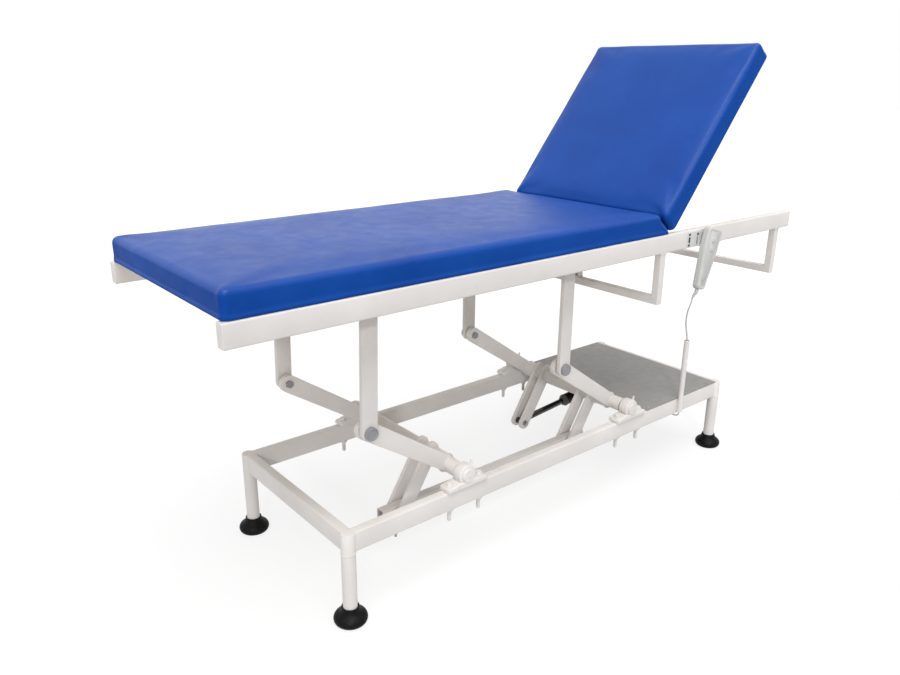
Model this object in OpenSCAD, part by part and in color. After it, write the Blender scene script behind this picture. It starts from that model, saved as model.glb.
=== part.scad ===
// Examination table: powered hi-lo couch with a tilting backrest.
// The origin is on the floor, midway between the four feet.
// +X runs to the head end, +Z is up and -Y is the side that carries the handset.

/* [Base frame] */
// Length over the base rails
base_l = 1460; // [1420:5:1520]
// Width over the base rails
base_w = 508; // [500:1:516]
// Height of the base rails' top face
base_top = 233; // [220:1:250]
// Height of the rail tube
base_rail_h = 50; // [46:1:54]
// Thickness of the rail tube
base_rail_t = 25; // [24:0.5:26]
// Wall of the rail and leg tubes
tube_wall = 2; // [1.5:0.5:3]
// Diameter of the leg tube
leg_d = 34; // [32:1:36]
// Distance from the rails' outer faces to a leg's centre
leg_inset = 10; // [8:1:12]
// Diameter of a rubber ferrule at the floor
ferrule_d = 80; // [70:1:90]
// Height of a ferrule
ferrule_h = 42; // [38:1:50]
// Rubber under the end of a leg
ferrule_sole = 10; // [8:1:14]
// Wall of a ferrule's collar
ferrule_wall = 3.5; // [3:0.5:5]

/* [Equipment plate] */
// Gap between the head bearings and the sheet that covers the base's head end
plate_gap = 16.5; // [14:0.5:20]
// Thickness of the sheet
plate_t = 3; // [2:0.5:4]
// Rail left uncovered behind the sheet
plate_end_gap = 21; // [19:0.5:23]
// Diameter of the screws that hold the sheet
screw_d = 5; // [4:0.5:6]
// Distance of the end screws from the sheet's ends
screw_margin = 20; // [15:1:30]

/* [Bearings] */
// Height of the pivot axis above the base rails
pivot_h = 30; // [29:0.5:33]
// Radius of the housing's dome
bearing_dome_r = 31; // [29:0.5:32]
// Length of the housing's foot
bearing_l = 127; // [124:1:132]
// Width of the housing
bearing_w = 38; // [34:1:40]
// Thickness of the housing's foot
bearing_foot_t = 14; // [11:1:16]
// Distance between the two bolts
bolt_pitch = 95; // [92:1:98]
// Diameter of the bolts
bolt_d = 10; // [8:1:11]
// How far the bolts hang below the rail
bolt_drop = 42; // [30:1:46]

/* [Lifting linkage] */
// Distance between the foot and head pivots
link_pitch = 639; // [632:1:646]
// Place of the foot pivot
foot_pivot_x = -378; // [-380:1:-372]
// Arm length between its axes
arm_l = 300; // [296:1:302]
// Angle of the arms above the floor at rest
arm_rise = 34.2; // [33.5:0.1:35]
// Inner face of the arms, from the middle plane
arm_y = 161; // [156:1:163]
// Thickness of an arm
arm_t = 25; // [22:1:27]
// Radius of the arm's end at the top pivot
arm_top_r = 23; // [20:0.5:23]
// Radius of the arm's end at the base pivot
arm_base_r = 18.5; // [17:0.5:19]
// Diameter of the tube that joins a pair of arms
torque_d = 47; // [42:1:50]
// Wall of that tube
torque_wall = 4; // [3:0.5:5]
// Diameter of the shafts in the bearings
shaft_d = 20; // [18:1:22]
// Diameter of the top pivot pins
pin_d = 16; // [14:1:18]
// Diameter of the caps on the top pivot pins
cap_d = 31; // [28:1:34]
// Thickness of those caps
cap_t = 4; // [3:0.5:5]

/* [Levers and tie bar] */
// Lever length from the base pivot to its pin
lever_l = 172; // [165:1:176]
// Width of a lever bar
lever_w = 40; // [36:1:42]
// Thickness of a lever bar
lever_t = 10; // [8:1:12]
// Clear distance between the two bars of a pair
lever_gap = 32; // [30:1:34]
// Height of the bar's upper end centre above the pivot
lever_head = 30; // [26:1:34]
// Diameter of the lever pins
lever_pin_d = 12; // [10:1:14]
// Place of the tie bar from the middle plane
tie_y = -90; // [-100:1:-80]
// Place of the actuator from the middle plane
actuator_y = 107; // [102:1:112]
// Height of the tie bar
tie_h = 50; // [46:1:54]
// Thickness of the tie bar
tie_t = 25; // [22:1:28]
// Tie bar beyond its foot pin
tie_foot_end = 54; // [46:1:60]
// Tie bar beyond its head pin
tie_head_end = 67; // [60:1:72]

/* [Actuator] */
// Place of the rear mount ahead of the base's head end
mount_inset = 47; // [44:1:50]
// Height of the rear mount
mount_z = 165; // [160:1:168]
// Diameter of the rod
rod_d = 20; // [18:1:22]
// Diameter of the outer tube
outer_d = 38; // [35:1:40]
// Rod that shows between its pin and the outer tube
rod_show = 196; // [190:1:200]
// Length of the light collar on the outer tube
collar_l = 16; // [12:1:20]
// Rod left inside the tube at rest
rod_overlap = 40; // [35:1:45]
// Length of the gearbox housing
housing_l = 106; // [100:1:110]
// Height of the gearbox housing
housing_h = 58; // [54:1:62]
// Width of the gearbox housing
housing_w = 50; // [46:1:54]
// Diameter of the motor
motor_d = 46; // [42:1:48]
// Length of the motor
motor_l = 120; // [110:1:130]
// Diameter of the rear mounting pin
mount_pin_d = 10; // [9:0.5:11]
// Travel of that pin along the slot in its bracket
mount_slot = 13; // [13:0.5:15]

/* [Control box and conduit] */
// Length of the control box
box_l = 200; // [180:5:220]
// Width of the control box
box_w = 100; // [90:5:105]
// Height of the control box
box_h = 58; // [52:1:62]
// Near face of the control box from the middle plane
box_y = -180; // [-184:1:-176]
// Head end of the control box ahead of the base's head end
box_inset = 80; // [75:1:90]
// Diameter of the conduit that takes the handset's cord
conduit_d = 16; // [14:1:17]
// Place of the conduit
conduit_x = 500; // [495:1:505]
// Bottom of the conduit
conduit_z0 = 190; // [186:1:196]
// Top of the conduit
conduit_z1 = 428; // [424:1:430]

/* [Top frame] */
// Length of the top frame
top_l = 1940; // [1930:2:1980]
// Width over the top rails
top_w = 600; // [592:2:612]
// Height of a top rail
top_rail_h = 50; // [46:1:54]
// Thickness of a top rail
top_rail_t = 25; // [24:0.5:26]
// Frame beyond the foot struts' axis
foot_overhang = 363; // [350:1:370]
// Distance from the top pivots up to the rails' bottom face
strut_drop = 303; // [296:1:310]
// Width of a strut
strut_w = 41; // [38:1:42]
// Thickness of a strut
strut_t = 25; // [24:0.5:26]
// Running gap between an arm and its strut
strut_gap = 1; // [0.5:0.1:1.5]
// Side of the square cross members
cross_side = 40; // [36:1:40]
// Foot hoop's place from the frame's head end
hoop_foot_in = 670; // [666:1:674]
// Head hoop's place from the frame's head end
hoop_head_in = 70; // [60:1:90]
// Side of the hoops' square tube
hoop_side = 22; // [20:1:24]
// Depth of the hoops below the rails
hoop_drop = 145; // [140:1:150]
// Face thickness of the plugs in the rails' ends
plug_t = 2; // [1:0.5:3]

/* [Cushions] */
// Distance from the seat cushion's head end to the hinge axis
seat_gap = 52; // [52:1:64]
// Thickness of the cushions
pad_t = 60; // [56:1:64]
// Height of the crown in a cushion's middle
pad_crown = 5; // [3:0.5:8]
// Rounding of a cushion's upper edges
pad_round = 14; // [10:1:16]
// Rounding of a cushion's corners
pad_corner = 22; // [18:1:30]
// How far the cover is drawn in at the board
pad_draw = 4; // [2:0.5:5]
// Thickness of the plywood boards
board_t = 12; // [9:1:15]
// Cover wrapped round the board's edge
board_wrap = 10; // [8:1:14]

/* [Backrest] */
// Length of the backrest cushion
back_l = 600; // [590:5:610]
// Angle of the backrest above level at rest
back_angle = 51; // [50:0.5:52]
// Hinge axis from the frame's head end
hinge_in = 626; // [622:1:628]
// Distance from the hinge axis to the cushion's lower edge
back_start = 14; // [12:1:18]
// Side of the backrest's square tube
back_tube = 25; // [23:1:26]
// Centre of the backrest's side tubes from the frame's sides
back_tube_inset = 65; // [62:1:72]
// Side tubes' end short of the cushion's end
back_tube_short = 30; // [20:1:40]
// Diameter of the hinge pins
hinge_pin_d = 10; // [9:0.5:12]
// Thickness of the hinge lugs
lug_t = 5; // [4:0.5:6]

/* [Gas spring] */
// Lower pin above the foot hoop's bar
spring_pin_h = 20; // [18:1:22]
// Upper pin below the backrest tubes' middle
spring_pin_drop = 28; // [26:1:30]
// Diameter of the pins
spring_pin_d = 8; // [7:0.5:9]
// Diameter of the cylinder
spring_d = 22; // [20:1:24]
// Diameter of the piston rod
spring_rod_d = 10; // [8:1:11]
// Length from the lower pin to the cylinder's mouth
spring_body_l = 190; // [186:1:194]
// Length of the piston rod from the upper pin
spring_rod_l = 116; // [112:1:120]

/* [Handset] */
// Width at the handset's top
handset_w1 = 70; // [66:1:74]
// Width at its bottom
handset_w2 = 38; // [36:1:42]
// Length of the handset
handset_l = 168; // [160:1:172]
// Thickness of the handset
handset_t = 22; // [18:1:24]
// Lean of the handset towards the foot end
handset_lean = 13; // [11:0.5:14]
// Place of the hanging stud
stud_x = 470; // [467:1:472]
// Height of the stud below the top rails' top face
stud_below = 26; // [24:1:28]
// Distance from the stud up to the handset's top edge
stud_to_top = 29; // [26:1:32]
// Length of the holder on the rail
clip_l = 126; // [122:1:130]
// Height of the holder
clip_h = 42; // [38:1:44]
// Foot end of the holder
clip_x = 384; // [382:1:390]
// Clear depth of the holder's pocket
clip_depth = 5; // [4.5:0.5:6]
// Sheet of the holder
clip_t = 2; // [1.5:0.5:2.5]
// Diameter of the stud's head
stud_head_d = 14; // [12:0.5:15]
// Travel of a button
button_travel = 1.5; // [1:0.1:2]
// Diameter of the handset's cord
cord_d = 4.4; // [4:0.2:5]

/* [Hidden] */
$fn = 48;
// Overshoot that keeps a cut's faces clear of the solid's faces
cut = 1;
// Radial gap of a pin or shaft that turns in its bore
run_gap = 0.05;
// Gap between faces that slide past each other
face_gap = 0.3;
white = "gainsboro";
blue = "royalblue";
black = [0.08, 0.08, 0.09];
grey = [0.55, 0.55, 0.57];
steel = "silver";

// Heights and places of the linkage at rest
pivot_z = base_top + pivot_h;
head_pivot_x = foot_pivot_x + link_pitch;
arm_dx = arm_l * cos(arm_rise);
arm_dz = arm_l * sin(arm_rise);
top_pivot_z = pivot_z + arm_dz;
foot_strut_x = foot_pivot_x - arm_dx;
head_strut_x = head_pivot_x - arm_dx;
bearing_y = base_w / 2 - base_rail_t / 2;
strut_y = arm_y + arm_t + strut_gap;
lever_angle = 270 - arm_rise;
lever_pin_dx = lever_l * cos(lever_angle);
lever_pin_dz = lever_l * sin(lever_angle);
lever_pin_z = pivot_z + lever_pin_dz;
leg_x = base_l / 2 - leg_inset;
leg_y = base_w / 2 - leg_inset;

// The top frame
top_x = foot_strut_x - foot_overhang;
top_z = top_pivot_z + strut_drop;
rail_top = top_z + top_rail_h;
head_end = top_x + top_l;
hoop_foot_x = head_end - hoop_foot_in;
hoop_head_x = head_end - hoop_head_in;
hinge_x = head_end - hinge_in;
hinge_z = rail_top - back_tube / 2;
seat_l = hinge_x - seat_gap - top_x;
back_tube_y = top_w / 2 - back_tube_inset;

// The gas spring's pins lie on one circle round the hinge
spring_low_x = hoop_foot_x;
spring_low_z = top_z - hoop_drop + hoop_side + spring_pin_h;
spring_circle_r = norm([hinge_x - spring_low_x, hinge_z - spring_low_z]);
spring_up_at = sqrt(pow(spring_circle_r, 2) - pow(spring_pin_drop, 2));
spring_up_x = hinge_x + spring_up_at * cos(back_angle) + spring_pin_drop * sin(back_angle);
spring_up_z = hinge_z + spring_up_at * sin(back_angle) - spring_pin_drop * cos(back_angle);
spring_angle = atan2(spring_up_z - spring_low_z, spring_up_x - spring_low_x);
spring_length = norm([spring_up_x - spring_low_x, spring_up_z - spring_low_z]);
spring_eye_r = 9;
spring_eye_w = 12;
spring_wall = 2;
ear_t = 4;

// The actuator's line, from the rod's pin to the rear mount
rod_pin_x = head_pivot_x + lever_pin_dx;
mount_x = base_l / 2 - mount_inset;
actuator_angle = atan2(mount_z - lever_pin_z, mount_x - rod_pin_x);
actuator_length = norm([mount_x - rod_pin_x, mount_z - lever_pin_z]);
outer_wall = 3;
housing_end = 25;
housing_start = actuator_length - housing_end - housing_l;
boss_w = lever_gap - 1;
boss_r = lever_pin_d / 2 + 5;

// The equipment plate's ends and its rows of screws
plate_x1 = base_l / 2 - plate_end_gap;
plate_x0 = head_pivot_x + bearing_l / 2 + plate_gap;
screw_xs = [plate_x0 + screw_margin, (plate_x0 + plate_x1) / 2, plate_x1 - screw_margin - leg_d / 2];
earth_x = -588;
earth_d = 6;

// The control box hangs from the equipment plate
box_x = base_l / 2 - box_inset - box_l;
conduit_y = -base_w / 2 - conduit_d / 2;
gland_z = base_top - box_h + 18;
inlet_seat_d = 24;
inlet_depth = 12;

// The handset's own frame: origin at the stud, v down its length
stud_z = rail_top - stud_below;
clip_face = top_w / 2 + clip_t + clip_depth + clip_t;
handset_back = clip_face + 2;
button_w = 20;
button_h = 15;
button_up_v = 34;
button_down_v = 60;
button_depth = 5;
button_proud = 2;

// Route of the handset's cord, from the strain relief to the conduit
CORD = [
    [420, -314, 588], [419, -314, 578], [418, -312, 568], [418, -309, 558], [420, -305, 548],
    [424, -301, 538], [429, -297, 528], [435, -293, 518], [441, -289, 509], [448, -285, 500],
    [455, -281, 491], [462, -278, 482], [470, -274, 473], [477, -271, 465], [484, -268, 457],
    [490.5, -265, 449], [495.5, -263.2, 441], [498.6, -262.3, 434], [499.8, -262, 427],
    [500, -262, 420], [500, -262, 414]
];
// Route of the cord inside the conduit and on to the control box
INNER_CORD = [
    [500, -262, 414], [500, -262, 390], [500, -262, 350], [500, -262, 310], [500, -262, 270],
    [500, -262, 230], [500, -262, 190], [500, -261, 182], [500, -257, 176], [500, -250, 173],
    [500, -240, 173], [500, -228, 173], [500, -216, 174], [500, -206, 178], [500, -198, 184],
    [500, -190, 190], [500, -180, 193]
];
// Line of the strain relief's core, from the handset to the cord
RELIEF = [[426, -316, 622], [424, -316, 611], [422, -315, 599], [420, -314, 588]];

// Round tube swept along a list of points, with a radius for each point
function unit(v) = v / norm(v);
function tangent(p, i) =
    unit(p[min(i + 1, len(p) - 1)] - p[max(i - 1, 0)]);
function side_of(t) = unit(cross(t, abs(t[1]) < 0.9 ? [0, 1, 0] : [1, 0, 0]));
function ring(p, i, r, sides) =
    let (t = tangent(p, i), u = side_of(t), v = cross(t, u))
    [for (k = [0 : sides - 1])
        p[i] + r * (cos(360 * k / sides) * u + sin(360 * k / sides) * v)];

module swept_tube(p, radii, sides) {
    n = len(p);
    points = [for (i = [0 : n - 1]) each ring(p, i, radii[i], sides)];
    walls = [for (i = [0 : n - 2]) for (k = [0 : sides - 1]) for (half = [0, 1])
        let (a = i * sides + k, b = i * sides + (k + 1) % sides)
        half == 0 ? [a, b, b + sides] : [a, b + sides, a + sides]];
    first = [[for (k = [sides - 1 : -1 : 0]) k]];
    last = [[for (k = [0 : sides - 1]) (n - 1) * sides + k]];
    polyhedron(points = points, faces = concat(walls, first, last), convexity = 6);
}

module cord(p) {
    swept_tube(p, [for (q = p) cord_d / 2], 8);
}

// Cylinder of radius r along Y, from y0 to y1
module rod_y(r, y0, y1) {
    translate([0, y1, 0]) rotate([90, 0, 0]) cylinder(r = r, h = y1 - y0);
}

// Outline drawn in X and Z, made solid from y0 to y1
module slab_y(y0, y1) {
    translate([0, y1, 0]) rotate([90, 0, 0]) linear_extrude(y1 - y0) children();
}

// Both sides of the middle plane
module both_sides() {
    children();
    mirror([0, 1, 0]) children();
}

// Box tube open at both ends, centred on Y and Z, from x0 to x1
module box_tube_x(x0, x1, w, h, wall) {
    difference() {
        translate([x0, -w / 2, -h / 2]) cube([x1 - x0, w, h]);
        translate([x0 - cut, -w / 2 + wall, -h / 2 + wall])
            cube([x1 - x0 + 2 * cut, w - 2 * wall, h - 2 * wall]);
    }
}

// Straight link outline from the origin to a point, with a radius at each end
module link_outline(to, r0, r1) {
    length = norm(to);
    turn = acos((r0 - r1) / length);
    rotate(atan2(to[1], to[0])) {
        circle(r0);
        translate([length, 0]) circle(r1);
        polygon([
            r0 * [cos(turn), sin(turn)],
            r0 * [cos(turn), -sin(turn)],
            [length, 0] + r1 * [cos(turn), -sin(turn)],
            [length, 0] + r1 * [cos(turn), sin(turn)]
        ]);
    }
}

// Base frame
module leg_posts(r, z0, z1) {
    for (x = [-leg_x, leg_x]) for (y = [-leg_y, leg_y])
        translate([x, y, z0]) cylinder(r = r, h = z1 - z0);
}

module bolt_holes() {
    for (x = [foot_pivot_x, head_pivot_x]) for (s = [-1, 1])
        translate([x + s * bolt_pitch / 2, 0, base_top - base_rail_h - cut])
            cylinder(d = bolt_d, h = base_rail_h + 2 * cut);
}

module screw_holes(z0, h) {
    for (x = screw_xs) translate([x, 0, z0]) cylinder(d = screw_d, h = h);
}

module base_side_rail(holes_for_stud) {
    difference() {
        translate([0, -bearing_y, base_top - base_rail_h / 2])
            box_tube_x(-leg_x, leg_x, base_rail_t, base_rail_h, tube_wall);
        leg_posts(leg_d / 2, 0, base_top + cut);
        translate([0, -bearing_y, 0]) bolt_holes();
        translate([0, -bearing_y, 0]) screw_holes(base_top - tube_wall - cut, tube_wall + 2 * cut);
        if (holes_for_stud)
            translate([earth_x, -bearing_y, base_top - base_rail_h - cut])
                cylinder(d = earth_d, h = tube_wall + 2 * cut);
    }
}

module base_rail_left() {
    color(white) base_side_rail(true);
}

module base_rail_right() {
    color(white) mirror([0, 1, 0]) base_side_rail(false);
}

module base_end_rail() {
    inner = base_w / 2 - base_rail_t;
    difference() {
        translate([base_l / 2 - base_rail_t / 2, 0, base_top - base_rail_h / 2]) rotate(90)
            box_tube_x(-inner, inner, base_rail_t, base_rail_h, tube_wall);
        leg_posts(leg_d / 2, 0, base_top + cut);
    }
}

module base_rail_foot() {
    color(white) mirror([1, 0, 0]) base_end_rail();
}

module base_rail_head() {
    color(white) base_end_rail();
}

module legs() {
    color(white) difference() {
        leg_posts(leg_d / 2, ferrule_sole, base_top);
        leg_posts(leg_d / 2 - tube_wall, ferrule_sole - cut, base_top - tube_wall);
    }
}

module ferrule() {
    collar_r = leg_d / 2 + ferrule_wall;
    flange_r = ferrule_d / 2;
    rotate_extrude() polygon([
        [0, 0], [flange_r - 8, 0], [flange_r - 2, 3], [flange_r, 9], [flange_r - 2, 15],
        [flange_r - 9, 21], [collar_r + 5, 26], [collar_r + 1.5, 31], [collar_r, ferrule_h - 1],
        [collar_r - 1, ferrule_h], [leg_d / 2, ferrule_h], [leg_d / 2, ferrule_sole],
        [0, ferrule_sole]
    ]);
}

module ferrules() {
    color(black) for (x = [-leg_x, leg_x]) for (y = [-leg_y, leg_y])
        translate([x, y, 0]) ferrule();
}

// Equipment plate, its screws and what hangs below it
module base_plate() {
    color(grey) difference() {
        translate([plate_x0, -base_w / 2, base_top]) cube([plate_x1 - plate_x0, base_w, plate_t]);
        for (s = [-1, 1]) translate([0, s * bearing_y, 0])
            screw_holes(base_top - cut, plate_t + 2 * cut);
    }
}

module plate_screws() {
    head_h = 2.5;
    color(steel) for (s = [-1, 1]) for (x = screw_xs) translate([x, s * bearing_y, base_top]) {
        translate([0, 0, -tube_wall - 4]) cylinder(d = screw_d, h = tube_wall + 4 + plate_t);
        translate([0, 0, plate_t]) cylinder(d1 = screw_d * 2, d2 = screw_d * 1.4, h = head_h);
    }
}

module earth_stud() {
    nut_r = earth_d;
    nut_h = 5;
    tail = 14;
    color(steel) translate([earth_x, -bearing_y, base_top - base_rail_h]) {
        translate([0, 0, -tail]) cylinder(d = earth_d, h = tail + tube_wall);
        translate([0, 0, -nut_h]) cylinder(r = nut_r, h = nut_h, $fn = 6);
    }
}

module control_box() {
    flange_w = 12;
    flange_t = 3;
    color(grey) difference() {
        union() {
            translate([box_x, box_y, base_top - box_h]) cube([box_l, box_w, box_h]);
            translate([box_x - flange_w, box_y, base_top - flange_t])
                cube([box_l + 2 * flange_w, box_w, flange_t]);
        }
        translate([box_x - cut, box_y + box_w / 2, gland_z])
            rotate([0, 90, 0]) cylinder(d = inlet_seat_d, h = inlet_depth + cut);
    }
}

module mains_inlet() {
    flange = 32;
    flange_t = 3;
    socket_d = 18;
    floor_t = 2;
    color(black) translate([box_x, box_y + box_w / 2, gland_z]) difference() {
        union() {
            translate([-flange_t, -flange / 2, -inlet_seat_d / 2])
                cube([flange_t, flange, inlet_seat_d]);
            rotate([0, 90, 0]) cylinder(d = inlet_seat_d, h = inlet_depth);
        }
        translate([-flange_t - cut, 0, 0]) rotate([0, 90, 0])
            cylinder(d = socket_d, h = flange_t + cut + inlet_depth - floor_t);
    }
}

module conduit() {
    weld_w = 8;
    bore = conduit_d - 3;
    color(white) translate([conduit_x, conduit_y, 0]) difference() {
        union() {
            translate([0, 0, conduit_z0]) cylinder(d = conduit_d, h = conduit_z1 - conduit_z0);
            translate([-weld_w / 2, 0, conduit_z0])
                cube([weld_w, conduit_d / 2, base_top - 3 - conduit_z0]);
        }
        translate([0, 0, conduit_z0 - cut])
            cylinder(d = bore, h = conduit_z1 - conduit_z0 + 2 * cut);
    }
}

module inner_cord() {
    color(grey) cord(INNER_CORD);
}

// Pillow block: a foot with two bolt holes, a dome and the insert's ring
module bearing() {
    ring_r = shaft_d / 2 + 6;
    ring_w = bearing_w + 3;
    waist = bearing_dome_r * 0.93;
    difference() {
        union() {
            slab_y(-bearing_w / 2, bearing_w / 2) {
                polygon([
                    [-bearing_l / 2 + 2, 0], [bearing_l / 2 - 2, 0],
                    [bearing_l / 2, 3], [bearing_l / 2 - 3, bearing_foot_t - 1],
                    [bearing_dome_r + 8, bearing_foot_t], [waist, bearing_foot_t + 6],
                    [-waist, bearing_foot_t + 6], [-bearing_dome_r - 8, bearing_foot_t],
                    [-bearing_l / 2 + 3, bearing_foot_t - 1], [-bearing_l / 2, 3]
                ]);
            }
            intersection() {
                translate([0, 0, pivot_h]) rod_y(bearing_dome_r, -bearing_w / 2 + 4, bearing_w / 2 - 4);
                translate([-bearing_l / 2, -bearing_w / 2, 2])
                    cube([bearing_l, bearing_w, pivot_h + bearing_dome_r]);
            }
            translate([0, 0, pivot_h]) rod_y(ring_r, -ring_w / 2, ring_w / 2);
        }
        translate([0, 0, pivot_h])
            rod_y(shaft_d / 2 + run_gap, -bearing_w, bearing_w);
        for (s = [-1, 1]) translate([s * bolt_pitch / 2, 0, -cut])
            cylinder(d = bolt_d, h = bearing_foot_t + 2 * cut);
    }
}

module bearing_at(x, y) {
    color(white) translate([x, y, base_top]) bearing();
}

module bearing_bolts() {
    head_h = 7;
    nut_h = 8;
    color(white) for (x = [foot_pivot_x, head_pivot_x]) for (s = [-1, 1]) for (y = [-1, 1])
        translate([x + s * bolt_pitch / 2, y * bearing_y, base_top - base_rail_h]) {
            translate([0, 0, -bolt_drop])
                cylinder(d = bolt_d, h = bolt_drop + base_rail_h + bearing_foot_t);
            translate([0, 0, base_rail_h + bearing_foot_t])
                cylinder(r = bolt_d * 0.9, h = head_h, $fn = 6);
            translate([0, 0, -nut_h]) cylinder(r = bolt_d * 0.9, h = nut_h, $fn = 6);
        }
}

// Slotted bracket that carries the actuator's rear pin
module actuator_bracket() {
    ear_gap = spring_eye_w * 2;
    slot_r = mount_pin_d / 2 + 2;
    ear_h = mount_slot + slot_r * 2 + 22;
    rail_face = base_l / 2 - base_rail_t;
    color(white) {
        for (s = [-1, 1]) translate([0, actuator_y + s * (ear_gap + ear_t) / 2, 0])
            difference() {
                translate([mount_x - 14, -ear_t / 2, mount_z - mount_slot - slot_r - 10])
                    cube([rail_face - ear_t - mount_x + 14, ear_t, ear_h]);
                translate([mount_x - 1.5, 0, mount_z])
                    slab_y(-ear_t, ear_t) link_outline([0, -mount_slot], slot_r + 0.001, slot_r);
            }
        translate([rail_face - ear_t, actuator_y - ear_gap / 2 - ear_t,
            mount_z - mount_slot - slot_r - 10])
            cube([ear_t, ear_gap + 2 * ear_t, ear_h]);
    }
}

// Lifting linkage
module torque_tube(x) {
    tube_r = torque_d / 2;
    end_t = 8;
    shaft_end = base_w / 2 + 8;
    color(white) translate([x, 0, pivot_z]) rotate([-90, 0, 0]) {
        rotate_extrude() polygon([
            [tube_r - torque_wall, -arm_y + end_t], [tube_r - torque_wall, arm_y - end_t],
            [0, arm_y - end_t], [0, shaft_end], [shaft_d / 2, shaft_end], [shaft_d / 2, arm_y],
            [tube_r, arm_y], [tube_r, -arm_y], [shaft_d / 2, -arm_y], [shaft_d / 2, -shaft_end],
            [0, -shaft_end], [0, -arm_y + end_t]
        ]);
    }
}

module arms(x) {
    color(white) both_sides() translate([x, 0, pivot_z]) difference() {
        slab_y(arm_y, arm_y + arm_t)
            link_outline([-arm_dx, arm_dz], arm_base_r, arm_top_r);
        rod_y(shaft_d / 2, arm_y - cut, arm_y + arm_t + cut);
        translate([-arm_dx, 0, arm_dz]) rod_y(pin_d / 2, arm_y - cut, arm_y + arm_t + cut);
    }
}

module lever_pair(x, y) {
    head = [0, lever_head];
    pin = [lever_pin_dx, lever_pin_dz];
    for (s = [-1, 1])
        translate([x, y + s * (lever_gap + lever_t) / 2, pivot_z]) difference() {
            slab_y(-lever_t / 2, lever_t / 2) translate(head)
                link_outline(pin - head, lever_w / 2 + 0.001, lever_w / 2);
            rod_y(torque_d / 2, -lever_t, lever_t);
            translate([lever_pin_dx, 0, lever_pin_dz]) rod_y(lever_pin_d / 2, -lever_t, lever_t);
        }
}

module lever_pin(x, y) {
    half = lever_gap / 2 + lever_t;
    end_r = lever_pin_d / 2 + 3;
    translate([x + lever_pin_dx, y, lever_pin_z]) {
        rod_y(lever_pin_d / 2, -half - 3, half + 3);
        rod_y(end_r, -half - 5, -half);
        rod_y(end_r, half, half + 5);
    }
}

module levers_head() {
    color(white) for (y = [tie_y, actuator_y]) lever_pair(head_pivot_x, y);
}

module lever_pins_head() {
    color(steel) for (y = [tie_y, actuator_y]) lever_pin(head_pivot_x, y);
}

// Top pivot pins: grey cap outside the strut, hexagon head inside the arm
module pivot_pins(x) {
    cap_y = strut_y + strut_t + face_gap;
    head_t = 8;
    color(grey) both_sides() translate([x - arm_dx, 0, top_pivot_z]) {
        rod_y(pin_d / 2, arm_y - cut, cap_y + cut);
        rod_y(cap_d / 2, cap_y, cap_y + cap_t - 1);
        translate([0, cap_y + cap_t, 0]) rotate([90, 0, 0])
            cylinder(r1 = cap_d / 2 - 1.5, r2 = cap_d / 2, h = 1);
        translate([0, arm_y, 0]) rotate([90, 0, 0]) cylinder(r = pin_d * 0.65, h = head_t, $fn = 6);
    }
}

module tie_bar() {
    color(white) translate([foot_pivot_x + lever_pin_dx, tie_y, lever_pin_z]) difference() {
        union() {
            box_tube_x(-tie_foot_end, link_pitch + tie_head_end, tie_t, tie_h, tube_wall);
            for (x = [0, link_pitch]) translate([x, 0, 0]) rod_y(boss_r, -boss_w / 2, boss_w / 2);
        }
        for (x = [0, link_pitch]) translate([x, 0, 0])
            rod_y(lever_pin_d / 2 + run_gap, -boss_w, boss_w);
    }
}

// Actuator, drawn along X from the rod's pin
module on_actuator() {
    translate([rod_pin_x, actuator_y, lever_pin_z]) rotate([0, -actuator_angle, 0]) children();
}

module rod_x(r, x0, x1) {
    translate([x0, 0, 0]) rotate([0, 90, 0]) cylinder(r = r, h = x1 - x0);
}

module actuator_rod() {
    eye_r = boss_r + 2;
    color(black) on_actuator() difference() {
        union() {
            rod_y(eye_r, -boss_w / 2, boss_w / 2);
            rod_x(rod_d / 2, eye_r - 3, rod_show + rod_overlap);
        }
        rod_y(lever_pin_d / 2 + run_gap, -boss_w, boss_w);
    }
}

module actuator_tube() {
    color(black) on_actuator() difference() {
        rod_x(outer_d / 2, rod_show + collar_l, housing_start);
        rod_x(outer_d / 2 - outer_wall, rod_show, housing_start - outer_wall);
    }
}

module actuator_collar() {
    color(white) on_actuator() difference() {
        rod_x(outer_d / 2 + 1, rod_show, rod_show + collar_l);
        rod_x(rod_d / 2 + run_gap, rod_show - cut, rod_show + collar_l + cut);
    }
}

module actuator_housing() {
    eye_w = spring_eye_w * 2 - 1;
    eye_r = mount_pin_d / 2 + 5;
    ear_out = spring_eye_w + ear_t + 3;
    color(black) on_actuator() {
        translate([housing_start, -housing_w / 2, -housing_h / 2])
            cube([housing_l, housing_w, housing_h]);
        translate([actuator_length, 0, 0]) {
            rod_y(eye_r, -eye_w / 2, eye_w / 2);
            translate([-housing_end, -eye_w / 2, -eye_r]) cube([housing_end, eye_w, 2 * eye_r]);
            rod_y(mount_pin_d / 2, -ear_out, ear_out);
        }
    }
}

module actuator_motor() {
    gap_to_tube = 2;
    motor_y = -housing_w / 2 - motor_d / 2 + 8;
    color(black) on_actuator() translate([0, motor_y, 0]) {
        difference() {
            rod_x(motor_d / 2, housing_start - motor_l + 60, housing_start + 60);
            translate([housing_start, -motor_y - housing_w / 2, -housing_h])
                cube([housing_l, housing_w, 2 * housing_h]);
            translate([0, -motor_y, 0]) rod_x(outer_d / 2 + gap_to_tube, 0, housing_start + cut);
        }
        rod_x(motor_d / 2 - 6, housing_start - motor_l + 56, housing_start - motor_l + 60);
    }
}

// Top frame
module top_side_rail() {
    color(white) translate([0, -top_w / 2 + top_rail_t / 2, rail_top - top_rail_h / 2])
        box_tube_x(top_x + plug_t, top_x + top_l - plug_t, top_rail_t, top_rail_h, tube_wall);
}

module top_rail_left() {
    top_side_rail();
}

module top_rail_right() {
    mirror([0, 1, 0]) top_side_rail();
}

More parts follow.
